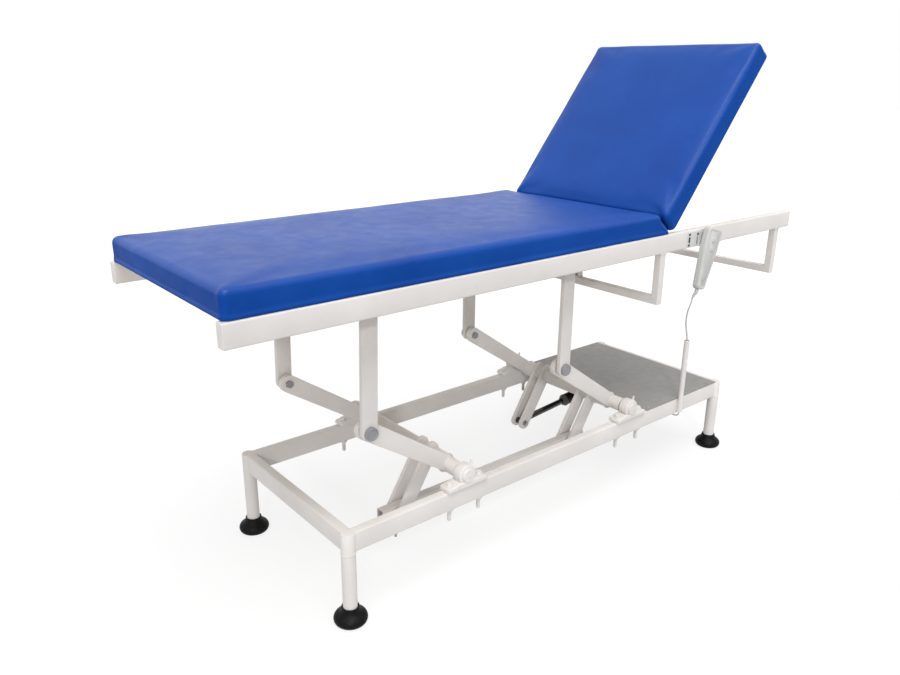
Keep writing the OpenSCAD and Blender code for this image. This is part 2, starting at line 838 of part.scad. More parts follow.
module rail_plugs() {
    stem = 18;
    fit = tube_wall;
    color(white) both_sides() for (end = [0, 1])
        translate([top_x + end * top_l, -top_w / 2 + top_rail_t / 2, rail_top - top_rail_h / 2])
            mirror([end, 0, 0]) {
                translate([0, -top_rail_t / 2, -top_rail_h / 2])
                    cube([plug_t, top_rail_t, top_rail_h]);
                translate([0, -top_rail_t / 2 + fit, -top_rail_h / 2 + fit])
                    cube([stem, top_rail_t - 2 * fit, top_rail_h - 2 * fit]);
            }
}

module cross_members() {
    inner = top_w / 2 - top_rail_t;
    color(white) for (x = [foot_strut_x, head_strut_x, hoop_foot_x])
        translate([x, 0, rail_top - cross_side / 2]) rotate(90)
            box_tube_x(-inner, inner, cross_side, cross_side, tube_wall);
}

// Strut with a solid round foot about the pivot and a hollow tube above it
module strut(x) {
    top = rail_top - cross_side - top_pivot_z;
    solid_foot = strut_w / 2 + 4;
    round_end = [for (a = [180 : 7.5 : 360]) strut_w / 2 * [cos(a), sin(a)]];
    translate([x, 0, top_pivot_z]) difference() {
        slab_y(strut_y, strut_y + strut_t)
            polygon(concat(round_end, [[strut_w / 2, top], [-strut_w / 2, top]]));
        translate([-strut_w / 2 + tube_wall, strut_y + tube_wall, solid_foot])
            cube([strut_w - 2 * tube_wall, strut_t - 2 * tube_wall, top]);
        rod_y(pin_d / 2 + run_gap, strut_y - cut, strut_y + strut_t + cut);
    }
}

module struts() {
    color(white) both_sides() for (x = [foot_strut_x, head_strut_x]) strut(x);
}

// U-shaped hoop of square tube, open only at its upper ends
module hoop_form(side, half_w, z0, z1) {
    translate([-side / 2, -half_w, z0]) cube([side, 2 * half_w, side]);
    for (s = [0, 1]) mirror([0, s, 0])
        translate([-side / 2, half_w - side, z0]) cube([side, side, z1 - z0]);
}

module hoop(x) {
    z0 = top_z - hoop_drop;
    color(white) translate([x, 0, 0]) difference() {
        hoop_form(hoop_side, top_w / 2, z0, top_z);
        hoop_form(hoop_side - 2 * tube_wall, top_w / 2 - tube_wall, z0 + tube_wall, top_z + cut);
    }
}

// Lugs on the hinge cross member, one on each side of each backrest tube
module hinge_lugs() {
    from = hoop_foot_x + cross_side / 2;
    reach = hinge_x - from;
    color(white) both_sides() for (s = [-1, 1])
        translate([hinge_x, back_tube_y + s * (back_tube / 2 + face_gap + lug_t / 2), hinge_z])
            difference() {
                union() {
                    rod_y(back_tube / 2 - 0.5, -lug_t / 2, lug_t / 2);
                    translate([-reach, -lug_t / 2, -back_tube / 2 + 0.5])
                        cube([reach, lug_t, back_tube - 1]);
                }
                rod_y(hinge_pin_d / 2, -lug_t, lug_t);
            }
}

// Pair of ears with a pin between them, at the origin
module spring_ears(drop, foot_l) {
    gap = spring_eye_w + 1;
    for (s = [-1, 1]) translate([0, s * (gap + ear_t) / 2, 0]) {
        rod_y(spring_eye_r, -ear_t / 2, ear_t / 2);
        translate([-spring_eye_r, -ear_t / 2, -drop]) cube([2 * spring_eye_r, ear_t, drop]);
    }
    translate([-foot_l / 2, -gap / 2 - ear_t, -drop]) cube([foot_l, gap + 2 * ear_t, 3]);
    rod_y(spring_pin_d / 2, -gap / 2 - ear_t - 2, gap / 2 + ear_t + 2);
}

module gas_spring_bracket() {
    color(white) translate([spring_low_x, 0, spring_low_z]) spring_ears(spring_pin_h, hoop_side);
}

// Lofted cushion: rounded rectangles, one above the other, in a rectangle l by w
function arc(cx, cy, r, a0) = [for (k = [0 : 5]) [cx + r * cos(a0 + 18 * k), cy + r * sin(a0 + 18 * k)]];
function rounded(l, w, inset, r) =
    let (q = max(r - inset, 3), x0 = inset + q, x1 = l - inset - q, y1 = w / 2 - inset - q)
    concat(arc(x1, y1, q, 0), arc(x0, y1, q, 90), arc(x0, -y1, q, 180), arc(x1, -y1, q, 270));

// Pairs of inset and height, from the board up to the crown's middle
PAD_RINGS = [
    [pad_draw, 0], [pad_draw * 0.45, 6], [pad_draw * 0.1, 16], [0, 28], [0, pad_t - pad_round],
    [pad_round * 0.1, pad_t - pad_round * 0.55], [pad_round * 0.35, pad_t - pad_round * 0.22],
    [pad_round * 0.75, pad_t - pad_round * 0.05], [pad_round * 1.3, pad_t + pad_crown * 0.08],
    [pad_round * 3, pad_t + pad_crown * 0.35], [pad_round * 6, pad_t + pad_crown * 0.7],
    [pad_round * 11, pad_t + pad_crown * 0.92], [pad_round * 17, pad_t + pad_crown]
];

module pad(l) {
    n = len(rounded(l, top_w, 0, pad_corner));
    points = [for (r = PAD_RINGS) each [for (p = rounded(l, top_w, r[0], pad_corner)) [p[0], p[1], r[1]]]];
    walls = [for (i = [0 : len(PAD_RINGS) - 2]) for (k = [0 : n - 1]) for (half = [0, 1])
        let (a = i * n + k, b = i * n + (k + 1) % n)
        half == 0 ? [a, b + n, b] : [a, a + n, b + n]];
    bottom = [[for (k = [0 : n - 1]) k]];
    top = [[for (k = [n - 1 : -1 : 0]) (len(PAD_RINGS) - 1) * n + k]];
    difference() {
        polyhedron(points = points, faces = concat(walls, bottom, top), convexity = 4);
        translate([0, 0, -cut]) pad_board(l, board_t + cut);
    }
}

module pad_board(l, t) {
    translate([board_wrap, -top_w / 2 + board_wrap, 0])
        cube([l - 2 * board_wrap, top_w - 2 * board_wrap, t]);
}

module seat_board() {
    color("burlywood") translate([top_x, 0, rail_top]) pad_board(seat_l, board_t);
}

module seat_cushion() {
    color(blue) translate([top_x, 0, rail_top]) pad(seat_l);
}

// Backrest, drawn level from its hinge axis and then tilted
module on_backrest() {
    translate([hinge_x, 0, hinge_z]) rotate([0, -back_angle, 0]) children();
}

module backrest_rails() {
    end = back_start + back_l - back_tube_short;
    color(white) on_backrest() both_sides() translate([0, back_tube_y, 0]) difference() {
        union() {
            rod_y(back_tube / 2, -back_tube / 2, back_tube / 2);
            translate([0, -back_tube / 2, -back_tube / 2]) cube([end, back_tube, back_tube]);
        }
        translate([back_tube / 2 + 3, -back_tube / 2 + tube_wall, -back_tube / 2 + tube_wall])
            cube([end, back_tube - 2 * tube_wall, back_tube - 2 * tube_wall]);
        rod_y(hinge_pin_d / 2, -back_tube, back_tube);
    }
}

module backrest_crossbars() {
    half = back_tube_y - back_tube / 2;
    end = back_start + back_l - back_tube_short;
    color(white) on_backrest() for (x = [spring_up_at, end - back_tube])
        translate([x, 0, 0]) rotate(90) box_tube_x(-half, half, back_tube, back_tube, tube_wall);
}

module backrest_board() {
    color("burlywood") on_backrest() translate([back_start, 0, back_tube / 2])
        pad_board(back_l, board_t);
}

module backrest_cushion() {
    color(blue) on_backrest() translate([back_start, 0, back_tube / 2]) pad(back_l);
}

module hinge_pins() {
    half = back_tube / 2 + face_gap + lug_t + 2;
    color(steel) both_sides() translate([hinge_x, back_tube_y, hinge_z])
        rod_y(hinge_pin_d / 2 - run_gap, -half, half);
}

module backrest_bracket() {
    drop = spring_pin_drop - back_tube / 2;
    color(white) on_backrest() translate([spring_up_at, 0, -spring_pin_drop])
        rotate([180, 0, 0]) spring_ears(drop, back_tube);
}

// Gas spring, drawn along X from its lower pin
module on_spring(x) {
    translate([spring_low_x, 0, spring_low_z]) rotate([0, -spring_angle, 0])
        translate([x, 0, 0]) children();
}

module spring_eye() {
    rod_y(spring_eye_r, -spring_eye_w / 2, spring_eye_w / 2);
}

module gas_spring_cylinder() {
    body = spring_eye_r + 2;
    cap = 6;
    color(black) on_spring(0) difference() {
        union() {
            spring_eye();
            rod_x(spring_eye_w / 2, 0, body + 1);
            rod_x(spring_d / 2, body, spring_body_l);
        }
        rod_y(spring_pin_d / 2 + run_gap, -spring_eye_w, spring_eye_w);
        rod_x(spring_d / 2 - spring_wall, body + cap, spring_body_l - cap);
        rod_x(spring_rod_d / 2 + run_gap, body + cap, spring_body_l + cut);
    }
}

module gas_spring_rod() {
    piston = 8;
    color(steel) on_spring(spring_length) difference() {
        union() {
            spring_eye();
            rod_x(spring_rod_d / 2, -spring_rod_l, 0);
            rod_x(spring_d / 2 - spring_wall - run_gap, -spring_rod_l - piston, -spring_rod_l);
        }
        rod_y(spring_pin_d / 2 + run_gap, -spring_eye_w, spring_eye_w);
    }
}

// Handset, drawn with its face to -Y, v down from its top edge and leaned at the stud
module on_handset() {
    translate([stud_x, -handset_back, stud_z]) rotate([0, handset_lean, 0])
        translate([0, 0, stud_to_top]) children();
}

function handset_outline(inset) =
    let (r = 12, w1 = handset_w1 / 2 - inset, w2 = handset_w2 / 2 - inset, q = r - inset,
        z0 = -inset, z1 = -handset_l + inset)
    concat(
        [for (a = [0 : 22.5 : 90]) [w1 - q + q * cos(a), z0 - q + q * sin(a)]],
        [for (a = [90 : 22.5 : 180]) [-w1 + q + q * cos(a), z0 - q + q * sin(a)]],
        [for (a = [180 : 22.5 : 270]) [-w2 + q + q * cos(a), z1 + q + q * sin(a)]],
        [for (a = [270 : 22.5 : 360]) [w2 - q + q * cos(a), z1 + q + q * sin(a)]]
    );

module handset_body() {
    edge = 4;
    hull() {
        slab_y(-handset_t + edge, -edge) polygon(handset_outline(0));
        slab_y(-handset_t, 0) polygon(handset_outline(edge));
    }
}

module button_form(v, grow, y0, y1) {
    translate([-button_w / 2 - grow, y0, -v - button_h / 2 - grow])
        cube([button_w + 2 * grow, y1 - y0, button_h + 2 * grow]);
}

module handset_shell() {
    neck_d = 7;
    head_t = 3;
    dot_d = 9;
    dot_v = 138;
    dot_x = -4;
    color(grey) difference() {
        union() {
            on_handset() handset_body();
            translate([stud_x, 0, stud_z]) {
                rod_y(neck_d / 2, -handset_back - 2, -clip_face + clip_t + 1);
                rod_y(stud_head_d / 2, -clip_face + clip_t + 1, -clip_face + clip_t + 1 + head_t);
            }
        }
        on_handset() {
            for (v = [button_up_v, button_down_v])
                button_form(v, face_gap, -handset_t - cut, -handset_t + button_depth + button_travel);
            translate([dot_x, 0, -dot_v]) rod_y(dot_d / 2, -handset_t - cut, -handset_t + 1);
        }
    }
}

module handset_button(v) {
    color(grey) on_handset()
        button_form(v, 0, -handset_t - button_proud, -handset_t + button_depth);
}

module strain_relief() {
    color(grey) swept_tube(RELIEF, [6, 5, 4, 3], 10);
}

module handset_cord() {
    color(grey) cord(CORD);
}

// Holder on the top rail: a back sheet, and a raised pocket with a slot open at its top
module handset_clip() {
    z0 = rail_top - stud_below - clip_h / 2;
    pocket_x = clip_x + 52;
    pocket_l = clip_l - 52;
    face = -top_w / 2;
    hole_d = 6;
    slot_w = stud_head_d / 2 + 1;
    color(grey) difference() {
        union() {
            translate([clip_x, face - clip_t, z0]) cube([clip_l, clip_t, clip_h]);
            translate([pocket_x, -clip_face, z0]) cube([pocket_l, clip_face + face, clip_h]);
        }
        translate([pocket_x + clip_t, face - clip_t - clip_depth, z0 + clip_t])
            cube([pocket_l - 2 * clip_t, clip_depth, clip_h]);
        translate([stud_x - slot_w / 2, -clip_face - cut, stud_z - slot_w / 2])
            cube([slot_w, clip_t + 2 * cut, clip_h]);
        for (z = [6, clip_h - 6]) translate([clip_x + 7, 0, z0 + z])
            rod_y(hole_d / 2, face - clip_t - cut, face + cut);
        translate([clip_x + 4.5, face - clip_t - cut, z0 + 13]) cube([5, clip_t + 2 * cut, 16]);
    }
}

base_rail_left();
base_rail_right();
base_rail_foot();
base_rail_head();
legs();
ferrules();
base_plate();
plate_screws();
bearing_at(foot_pivot_x, -bearing_y);  // bearing_foot_left
bearing_at(foot_pivot_x, bearing_y);  // bearing_foot_right
bearing_at(head_pivot_x, -bearing_y);  // bearing_head_left
bearing_at(head_pivot_x, bearing_y);  // bearing_head_right
bearing_bolts();
earth_stud();
conduit();
inner_cord();
control_box();
mains_inlet();
actuator_bracket();
torque_tube(foot_pivot_x);  // torque_tube_foot
arms(foot_pivot_x);  // arms_foot
color(white) lever_pair(foot_pivot_x, tie_y);  // levers_foot
color(steel) lever_pin(foot_pivot_x, tie_y);  // lever_pin_foot
pivot_pins(foot_pivot_x);  // pivot_pins_foot
torque_tube(head_pivot_x);  // torque_tube_head
arms(head_pivot_x);  // arms_head
levers_head();
lever_pins_head();
pivot_pins(head_pivot_x);  // pivot_pins_head
tie_bar();
top_rail_left();
top_rail_right();
rail_plugs();
cross_members();
struts();
hoop(hoop_foot_x);  // hoop_foot
hoop(hoop_head_x);  // hoop_head
hinge_lugs();
gas_spring_bracket();
seat_board();
seat_cushion();
handset_clip();
backrest_rails();
backrest_crossbars();
backrest_board();
backrest_cushion();
hinge_pins();
backrest_bracket();
gas_spring_cylinder();
gas_spring_rod();
actuator_rod();
actuator_tube();
actuator_collar();
actuator_housing();
actuator_motor();
handset_shell();
handset_button(button_up_v);  // handset_up_button
handset_button(button_down_v);  // handset_down_button
strain_relief();
handset_cord();
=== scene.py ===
"""Looks of the powered examination table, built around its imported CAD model."""

import math

import bpy
import numpy as np
from mathutils import Matrix, Vector, noise


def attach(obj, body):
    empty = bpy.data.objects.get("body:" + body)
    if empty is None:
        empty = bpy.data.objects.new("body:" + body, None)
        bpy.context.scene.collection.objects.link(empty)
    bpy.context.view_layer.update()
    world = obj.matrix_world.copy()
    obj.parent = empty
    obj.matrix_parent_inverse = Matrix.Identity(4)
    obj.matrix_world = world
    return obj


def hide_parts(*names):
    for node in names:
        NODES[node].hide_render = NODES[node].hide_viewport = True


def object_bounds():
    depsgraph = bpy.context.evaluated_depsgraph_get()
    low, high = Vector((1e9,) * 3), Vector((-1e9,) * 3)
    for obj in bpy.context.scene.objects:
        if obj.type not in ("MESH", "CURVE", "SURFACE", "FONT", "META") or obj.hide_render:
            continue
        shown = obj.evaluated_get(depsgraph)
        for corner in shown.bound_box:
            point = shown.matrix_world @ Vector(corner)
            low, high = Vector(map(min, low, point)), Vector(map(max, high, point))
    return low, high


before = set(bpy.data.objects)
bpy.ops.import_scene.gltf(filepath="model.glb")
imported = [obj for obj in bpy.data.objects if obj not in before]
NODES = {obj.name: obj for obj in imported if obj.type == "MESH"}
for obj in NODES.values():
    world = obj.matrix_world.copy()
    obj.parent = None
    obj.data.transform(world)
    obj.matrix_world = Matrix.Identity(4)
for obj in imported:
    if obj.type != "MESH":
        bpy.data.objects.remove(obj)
CAD_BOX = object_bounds()
MM = 0.001
scene = bpy.context.scene

# Real sizes in millimetres: the CAD source's own, and those of forms that are made only here
BASE_L, BASE_W, BASE_TOP = 1460, 508, 233
TUBE_T, TUBE_H, TUBE_R = 25, 50, 3.5
TUBE_HALF = TUBE_T / 2
LEG_D, LEG_IN = 34, 10
PIVOT_Z, FOOT_PIVOT_X, HEAD_PIVOT_X = 263, -378, 261
ARM_L, ARM_RISE, ARM_Y, ARM_T = 300, 34.2, 170, 14
SPACER_END, DOME_R, BOLT_DX = 220, 26.5, 47.5
LEVER_L, LEVER_T, LEVER_R, LEVER_HEAD = 172, 10, 20, 15
TIE_Y, TIE_L, ACTUATOR_Y = -90, 639, 107
TIE_GAP, ROD_GAP, ROD_R = 16, 12, 9.9
STRUT_Y, STRUT_T, STRUT_R, STRUT_LEAN = 191, 13, 20.5, 8
CROSS_T, HOOP_T, HOOP_DROP = 40, 22, 145
CAP_Y = STRUT_Y + STRUT_T + 0.3
TOP_X, TOP_L, TOP_W, TOP_Z, RAIL_TOP = -989.12, 1940, 600, 734.63, 784.63
HINGE_X, HINGE_Z, BACK_ANGLE = 324.88, 772.13, 51
BACK_TUBE_Y, BACK_TUBE_L = 235, 584
SEAT_L, BACK_L, PAD_T, BACK_START = 1262, 600, 60, 14
SEAT_TOE, BACK_TOE, TOE_TOP = 44, -6, 40
STUD = (470, 758.63)
HANDSET_BACK, HANDSET_LEAN, HANDSET_L, HANDSET_TOP = 311, 15, 178, 29
MOUNT_IN, MOUNT_Z, ROD_SHOW = 47, 165, 196
CONDUIT_X, CONDUIT_Y = 500, -262

# Routes of the handset's cord and the inner cord, as in the CAD source, and of the strain relief
CORD = [
    (420, -314, 588), (419, -314, 578), (418, -312, 568), (418, -309, 558), (420, -305, 548),
    (424, -301, 538), (429, -297, 528), (435, -293, 518), (441, -289, 509), (448, -285, 500),
    (455, -281, 491), (462, -278, 482), (470, -274, 473), (477, -271, 465), (484, -268, 457),
    (490.5, -265, 449), (495.5, -263.2, 441), (498.6, -262.3, 434), (499.8, -262, 427),
    (500, -262, 420), (500, -262, 414),
]
INNER_CORD = [
    (500, -262, 414), (500, -262, 390), (500, -262, 350), (500, -262, 310), (500, -262, 270),
    (500, -262, 230), (500, -262, 190), (500, -261, 182), (500, -257, 176), (500, -250, 173),
    (500, -240, 173), (500, -228, 173), (500, -216, 174), (500, -206, 178), (500, -198, 184),
    (500, -190, 190), (500, -180, 193),
]
RELIEF = [(426.5, -322, 615.7), (423.8, -322, 605.4), (421.6, -318, 599), (420, -314, 588)]
CORD_D = 4.4


def metres(points):
    return [Vector(p) * MM for p in points]


# Camera at the photograph's viewing angle
def make_camera():
    azimuth, elevation, roll = (math.radians(a) for a in (-39.8, 18.8, 0.5))
    target = Vector((-226.8, 0, 520)) * MM
    distance = 2101.3 * MM
    back = Vector((
        math.sin(azimuth) * math.cos(elevation),
        -math.cos(azimuth) * math.cos(elevation),
        math.sin(elevation),
    ))
    level_right = (-back).cross(Vector((0, 0, 1))).normalized()
    level_up = level_right.cross(-back)
    right = level_right * math.cos(roll) + level_up * math.sin(roll)
    up = level_up * math.cos(roll) - level_right * math.sin(roll)
    data = bpy.data.cameras.new("camera")
    data.sensor_width = 36
    data.lens = 31.09
    data.clip_start, data.clip_end = 0.01, 100
    camera = bpy.data.objects.new("camera", data)
    camera.matrix_world = Matrix.Translation(target + back * distance) @ Matrix(
        (right, up, back)
    ).transposed().to_4x4()
    scene.collection.objects.link(camera)
    scene.camera = camera


make_camera()


# Shader building
class Shader:
    """One node-based material, with short calls for the nodes that all of them use."""

    def __init__(self, name):
        self.material = bpy.data.materials.new(name)
        self.material.use_nodes = True
        self.tree = self.material.node_tree
        self.bsdf = self.tree.nodes["Principled BSDF"]
        self.coords = self.tree.nodes.new("ShaderNodeTexCoord").outputs["Object"]

    def new(self, kind, links=(), **values):
        node = self.tree.nodes.new(kind)
        for key, value in values.items():
            if hasattr(node, key):
                setattr(node, key, value)
            else:
                node.inputs[key.replace("_", " ")].default_value = value
        for name, source in dict(links).items():
            self.tree.links.new(source, node.inputs[name])
        return node

    def link(self, source, name):
        self.tree.links.new(source, self.bsdf.inputs[name])

    def stretched(self, scale):
        node = self.new("ShaderNodeMapping", {"Vector": self.coords})
        node.inputs["Scale"].default_value = scale
        return node.outputs["Vector"]

    def noise(self, scale, detail=2.0, rough=0.5, vector=None):
        node = self.new(
            "ShaderNodeTexNoise", {"Vector": vector or self.coords},
            Scale=scale, Detail=detail, Roughness=rough,
        )
        return node.outputs["Fac"]

    def ranged(self, source, low, high, out_low, out_high):
        node = self.new("ShaderNodeMapRange", {"Value": source})
        limits = {"From Min": low, "From Max": high, "To Min": out_low, "To Max": out_high}
        for key, value in limits.items():
            node.inputs[key].default_value = value
        return node.outputs["Result"]

    def mix(self, source, first, second):
        node = self.new("ShaderNodeMix", data_type="RGBA")
        self.tree.links.new(source, node.inputs["Factor"])
        for slot, value in ((6, first), (7, second)):
            if isinstance(value, tuple):
                node.inputs[slot].default_value = (*value, 1)
            else:
                self.tree.links.new(value, node.inputs[slot])
        return node.outputs[2]

    def bump(self, height, strength, distance, below=None):
        node = self.new("ShaderNodeBump", {"Height": height})
        node.inputs["Strength"].default_value = strength
        node.inputs["Distance"].default_value = distance
        if below is not None:
            self.tree.links.new(below, node.inputs["Normal"])
        return node.outputs["Normal"]

    def finish(self, colour, roughness, normal, metal=0.0, specular=0.5):
        self.link(colour, "Base Color")
        self.link(roughness, "Roughness")
        self.link(normal, "Normal")
        self.bsdf.inputs["Metallic"].default_value = metal
        self.bsdf.inputs["Specular IOR Level"].default_value = specular
        return self.material


def linear(r, g, b):
    """Colour given as eight-bit display values."""
    return tuple(((c / 255 + 0.055) / 1.055) ** 2.4 if c > 10 else c / 255 / 12.92 for c in (r, g, b))


def paint(name, light, dark, roughness):
    """Powder coat: drifting tone, orange peel, rubbed spots and fine scuffs."""
    s = Shader(name)
    drift = s.ranged(s.noise(7, 3), 0.35, 0.65, 0, 1)
    rubbed = s.ranged(s.noise(55, 5, 0.65), 0.62, 0.74, 0, 0.5)
    tone = s.mix(drift, linear(*light), linear(*dark))
    worn = s.mix(rubbed, tone, linear(*(c * 0.93 for c in dark)))
    peel = s.noise(520, 2)
    fine = s.noise(2600, 3, 0.6)
    soft = s.bump(peel, 0.35, 0.00012)
    normal = s.bump(fine, 0.2, 0.00003, soft)
    shine = s.ranged(s.noise(38, 4), 0.3, 0.7, roughness - 0.07, roughness + 0.09)
    return s.finish(worn, shine, normal)


def vinyl(name):
    """Blue upholstery vinyl with a pressed leather grain, worn to a sheen on its upper side."""
    s = Shader(name)
    drift = s.ranged(s.noise(5, 4, 0.6), 0.3, 0.7, 0, 1)
    tone = s.mix(drift, linear(22, 73, 156), linear(18, 64, 143))
    rubbed = s.ranged(s.noise(16, 6, 0.7), 0.6, 0.8, 0, 0.25)
    colour = s.mix(rubbed, tone, linear(44, 90, 172))
    warp = s.new("ShaderNodeTexNoise", {"Vector": s.coords}, Scale=140.0, Detail=2.0)
    bent = s.new(
        "ShaderNodeVectorMath", {0: warp.outputs["Color"], 2: s.coords}, operation="MULTIPLY_ADD",
    )
    bent.inputs[1].default_value = (0.003, 0.003, 0.003)
    cells = s.new(
        "ShaderNodeTexVoronoi", {"Vector": bent.outputs["Vector"]},
        feature="DISTANCE_TO_EDGE", Scale=620.0,
    )
    grain = s.ranged(cells.outputs["Distance"], 0, 0.18, 0, 1)
    pressed = s.bump(grain, 0.3, 0.00012)
    normal = s.bump(s.noise(38, 3), 0.1, 0.0012, pressed)
    shine = s.ranged(s.noise(24, 5, 0.6), 0.3, 0.7, 0.33, 0.44)
    facing = s.new("ShaderNodeSeparateXYZ", {"Vector": s.coords.node.outputs["Normal"]})
    s.link(s.ranged(facing.outputs["Z"], 0.1, 0.75, 0.015, 0.27), "Specular IOR Level")
    return s.finish(colour, shine, normal)


def rubber(name, colour, roughness, specular=0.2):
    """Moulded black rubber or plastic with a dull bloom."""
    s = Shader(name)
    bloom = s.ranged(s.noise(60, 5, 0.65), 0.45, 0.8, 0, 1)
    tone = s.mix(bloom, linear(*colour), linear(*(c + 9 for c in colour)))
    normal = s.bump(s.noise(900, 3), 0.35, 0.0001)
    shine = s.ranged(s.noise(80, 3), 0.3, 0.7, roughness - 0.08, roughness + 0.1)
    return s.finish(tone, shine, normal, specular=specular)


def plastic(name, light, dark, roughness):
    """Injection-moulded plastic with a spark-eroded texture."""
    s = Shader(name)
    tone = s.mix(s.ranged(s.noise(25, 3), 0.3, 0.7, 0, 1), linear(*light), linear(*dark))
    normal = s.bump(s.noise(1500, 2), 0.25, 0.00006)
    shine = s.ranged(s.noise(60, 3), 0.3, 0.7, roughness - 0.05, roughness + 0.07)
    return s.finish(tone, shine, normal)


def metal(name, light, dark, roughness, stretch):
    """Bare or zinc-plated steel with drawn lines."""
    s = Shader(name)
    lines = s.noise(400, 3, 0.6, s.stretched(stretch))
    tone = s.mix(s.ranged(s.noise(40, 4), 0.3, 0.7, 0, 1), linear(*light), linear(*dark))
    normal = s.bump(lines, 0.2, 0.00005)
    shine = s.ranged(lines, 0.3, 0.7, roughness - 0.08, roughness + 0.1)
    return s.finish(tone, shine, normal, metal=1.0)


def plywood(name):
    """Birch plywood face with a long grain and a few darker streaks."""
    s = Shader(name)
    along = s.stretched((6, 70, 70))
    streak = s.ranged(s.noise(3, 6, 0.6, along), 0.35, 0.7, 0, 1)
    pores = s.noise(60, 4, 0.7, along)
    tone = s.mix(streak, linear(214, 186, 146), linear(178, 143, 101))
    colour = s.mix(s.ranged(pores, 0.6, 0.75, 0, 0.6), tone, linear(132, 98, 64))
    normal = s.bump(pores, 0.4, 0.0002)
    return s.finish(colour, s.ranged(streak, 0, 1, 0.55, 0.7), normal)


WHITE = paint("painted_frame", (220, 216, 213), (212, 208, 205), 0.4)
GREY_SHEET = paint("painted_sheet", (138, 137, 134), (130, 129, 127), 0.4)
BLUE = vinyl("blue_vinyl")
RUBBER = rubber("black_rubber", (6, 5, 6), 0.5, 0.14)
BLACK_PAINT = rubber("black_finish", (24, 24, 23), 0.36)
BLACK_GLOSS = rubber("black_gloss", (14, 13, 12), 0.2, 0.6)
GREY_PLASTIC = plastic("grey_plastic", (196, 197, 194), (189, 190, 188), 0.42)
COLLAR_PLASTIC = plastic("collar_plastic", (84, 78, 70), (72, 67, 60), 0.4)
DARK_PLASTIC = plastic("dark_plastic", (52, 50, 52), (40, 40, 42), 0.45)
CAP_PLASTIC = plastic("cap_plastic", (142, 143, 147), (133, 134, 139), 0.4)
STEEL = metal("zinc_steel", (168, 168, 170), (136, 136, 140), 0.38, (1, 1, 6))
ROD_STEEL = metal("rod_steel", (205, 205, 207), (188, 188, 192), 0.2, (8, 1, 8))
DIM_PLASTIC = plastic("dim_plastic", (168, 168, 166), (158, 158, 157), 0.35)
KEY_PLASTIC = plastic("key_plastic", (194, 195, 192), (188, 189, 187), 0.42)
HOLDER_GREY = plastic("holder_grey", (208, 208, 207), (200, 200, 200), 0.38)
PLY = plywood("birch_ply")


# Mesh building; an edge is sharp from this angle in degrees
SHARP = 35


def smooth(mesh, angle=SHARP):
    mesh.shade_smooth()
    mesh.set_sharp_from_angle(angle=math.radians(angle))


def add_piece(name, body, material, mesh_data, replaced=(), angle=SHARP):
    """Makes an object from (vertices in mm, faces), and ties it to its CAD body."""
    mesh = bpy.data.meshes.new(name)
    vertices, faces = mesh_data
    mesh.from_pydata(metres(vertices), [], faces)
    mesh.materials.append(material)
    smooth(mesh, angle)
    obj = bpy.data.objects.new(name, mesh)
    scene.collection.objects.link(obj)
    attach(obj, body)
    if replaced:
        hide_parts(*replaced)


def dress(name, material, bevel):
    """Gives a CAD node its material, merged faces and small rounded edges."""
    obj = NODES[name]
    mesh = obj.data
    mesh.materials.clear()
    mesh.materials.append(material)
    custom = mesh.attributes.get("custom_normal")
    if custom:
        mesh.attributes.remove(custom)
    smooth(mesh)
    weld = obj.modifiers.new("weld", "WELD")
    weld.merge_threshold = 0.00001
    flat = obj.modifiers.new("flat", "DECIMATE")
    flat.decimate_type = "DISSOLVE"
    flat.angle_limit = math.radians(1)
    round_edges = obj.modifiers.new("round_edges", "BEVEL")
    round_edges.width = bevel * MM
    round_edges.segments = 2
    round_edges.limit_method = "ANGLE"
    round_edges.angle_limit = math.radians(SHARP)
    round_edges.harden_normals = True


# Closed shapes made of rings, in millimetres
class Shape:
    def __init__(self):
        self.vertices, self.faces = [], []

    def data(self):
        return self.vertices, self.faces

    def ring(self, points):
        start = len(self.vertices)
        self.vertices.extend(Vector(p) for p in points)
        return list(range(start, len(self.vertices)))

    def skin(self, rings):
        for a, b in zip(rings, rings[1:]):
            n = len(a)
            self.faces.extend((a[k], a[(k + 1) % n], b[(k + 1) % n], b[k]) for k in range(n))

    def loft(self, rows):
        """Skin over rows of points, with a flat face at each end."""
        rings = [self.ring(row) for row in rows]
        self.skin(rings)
        self.faces.extend((tuple(reversed(rings[0])), tuple(rings[-1])))
        return self

    def tube(self, path, side, width=TUBE_T, height=TUBE_H, corner=TUBE_R, wall=0):
        """Box tube along a path with mitred bends; side is the direction of its width."""
        path, side = [Vector(p) for p in path], Vector(side).normalized()
        outer = mitred(path, rounded_rectangle(width, height, corner), side)
        if not wall:
            return self.loft(outer)
        bore = rounded_rectangle(width - 2 * wall, height - 2 * wall, max(corner - wall, 0.5))
        inner = mitred(path, bore, side)
        self.skin([self.ring(row) for row in [*outer, *reversed(inner), outer[0]]])
        return self

    def turned(self, profile, at=(0, 0, 0), axis=(0, 0, 1), sides=40):
        """Profile of (radius, distance along the axis) turned about an axis."""
        axis, at = Vector(axis).normalized(), Vector(at)
        across = Vector((1, 0, 0)) if abs(axis.x) < 0.9 else Vector((0, 1, 0))
        u = across.cross(axis).normalized()
        v = axis.cross(u)
        turns = [2 * math.pi * k / sides for k in range(sides)]
        return self.loft([
            [at + axis * along + (u * math.cos(t) + v * math.sin(t)) * radius for t in turns]
            for radius, along in profile
        ])

    def plate(self, outline, y0, y1, edge):
        """Outline in X and Z made solid from y0 to y1, with rounded edges."""
        steps, rows = 3, []
        for k in range(steps + 1):
            a = math.pi / 2 * k / steps
            rows.append((edge * (1 - math.sin(a)), y0 + edge * (1 - math.cos(a))))
        rows += [(inset, y0 + y1 - y) for inset, y in reversed(rows)]
        return self.loft([[(x, y, z) for x, z in shrunk(outline, inset)] for inset, y in rows])


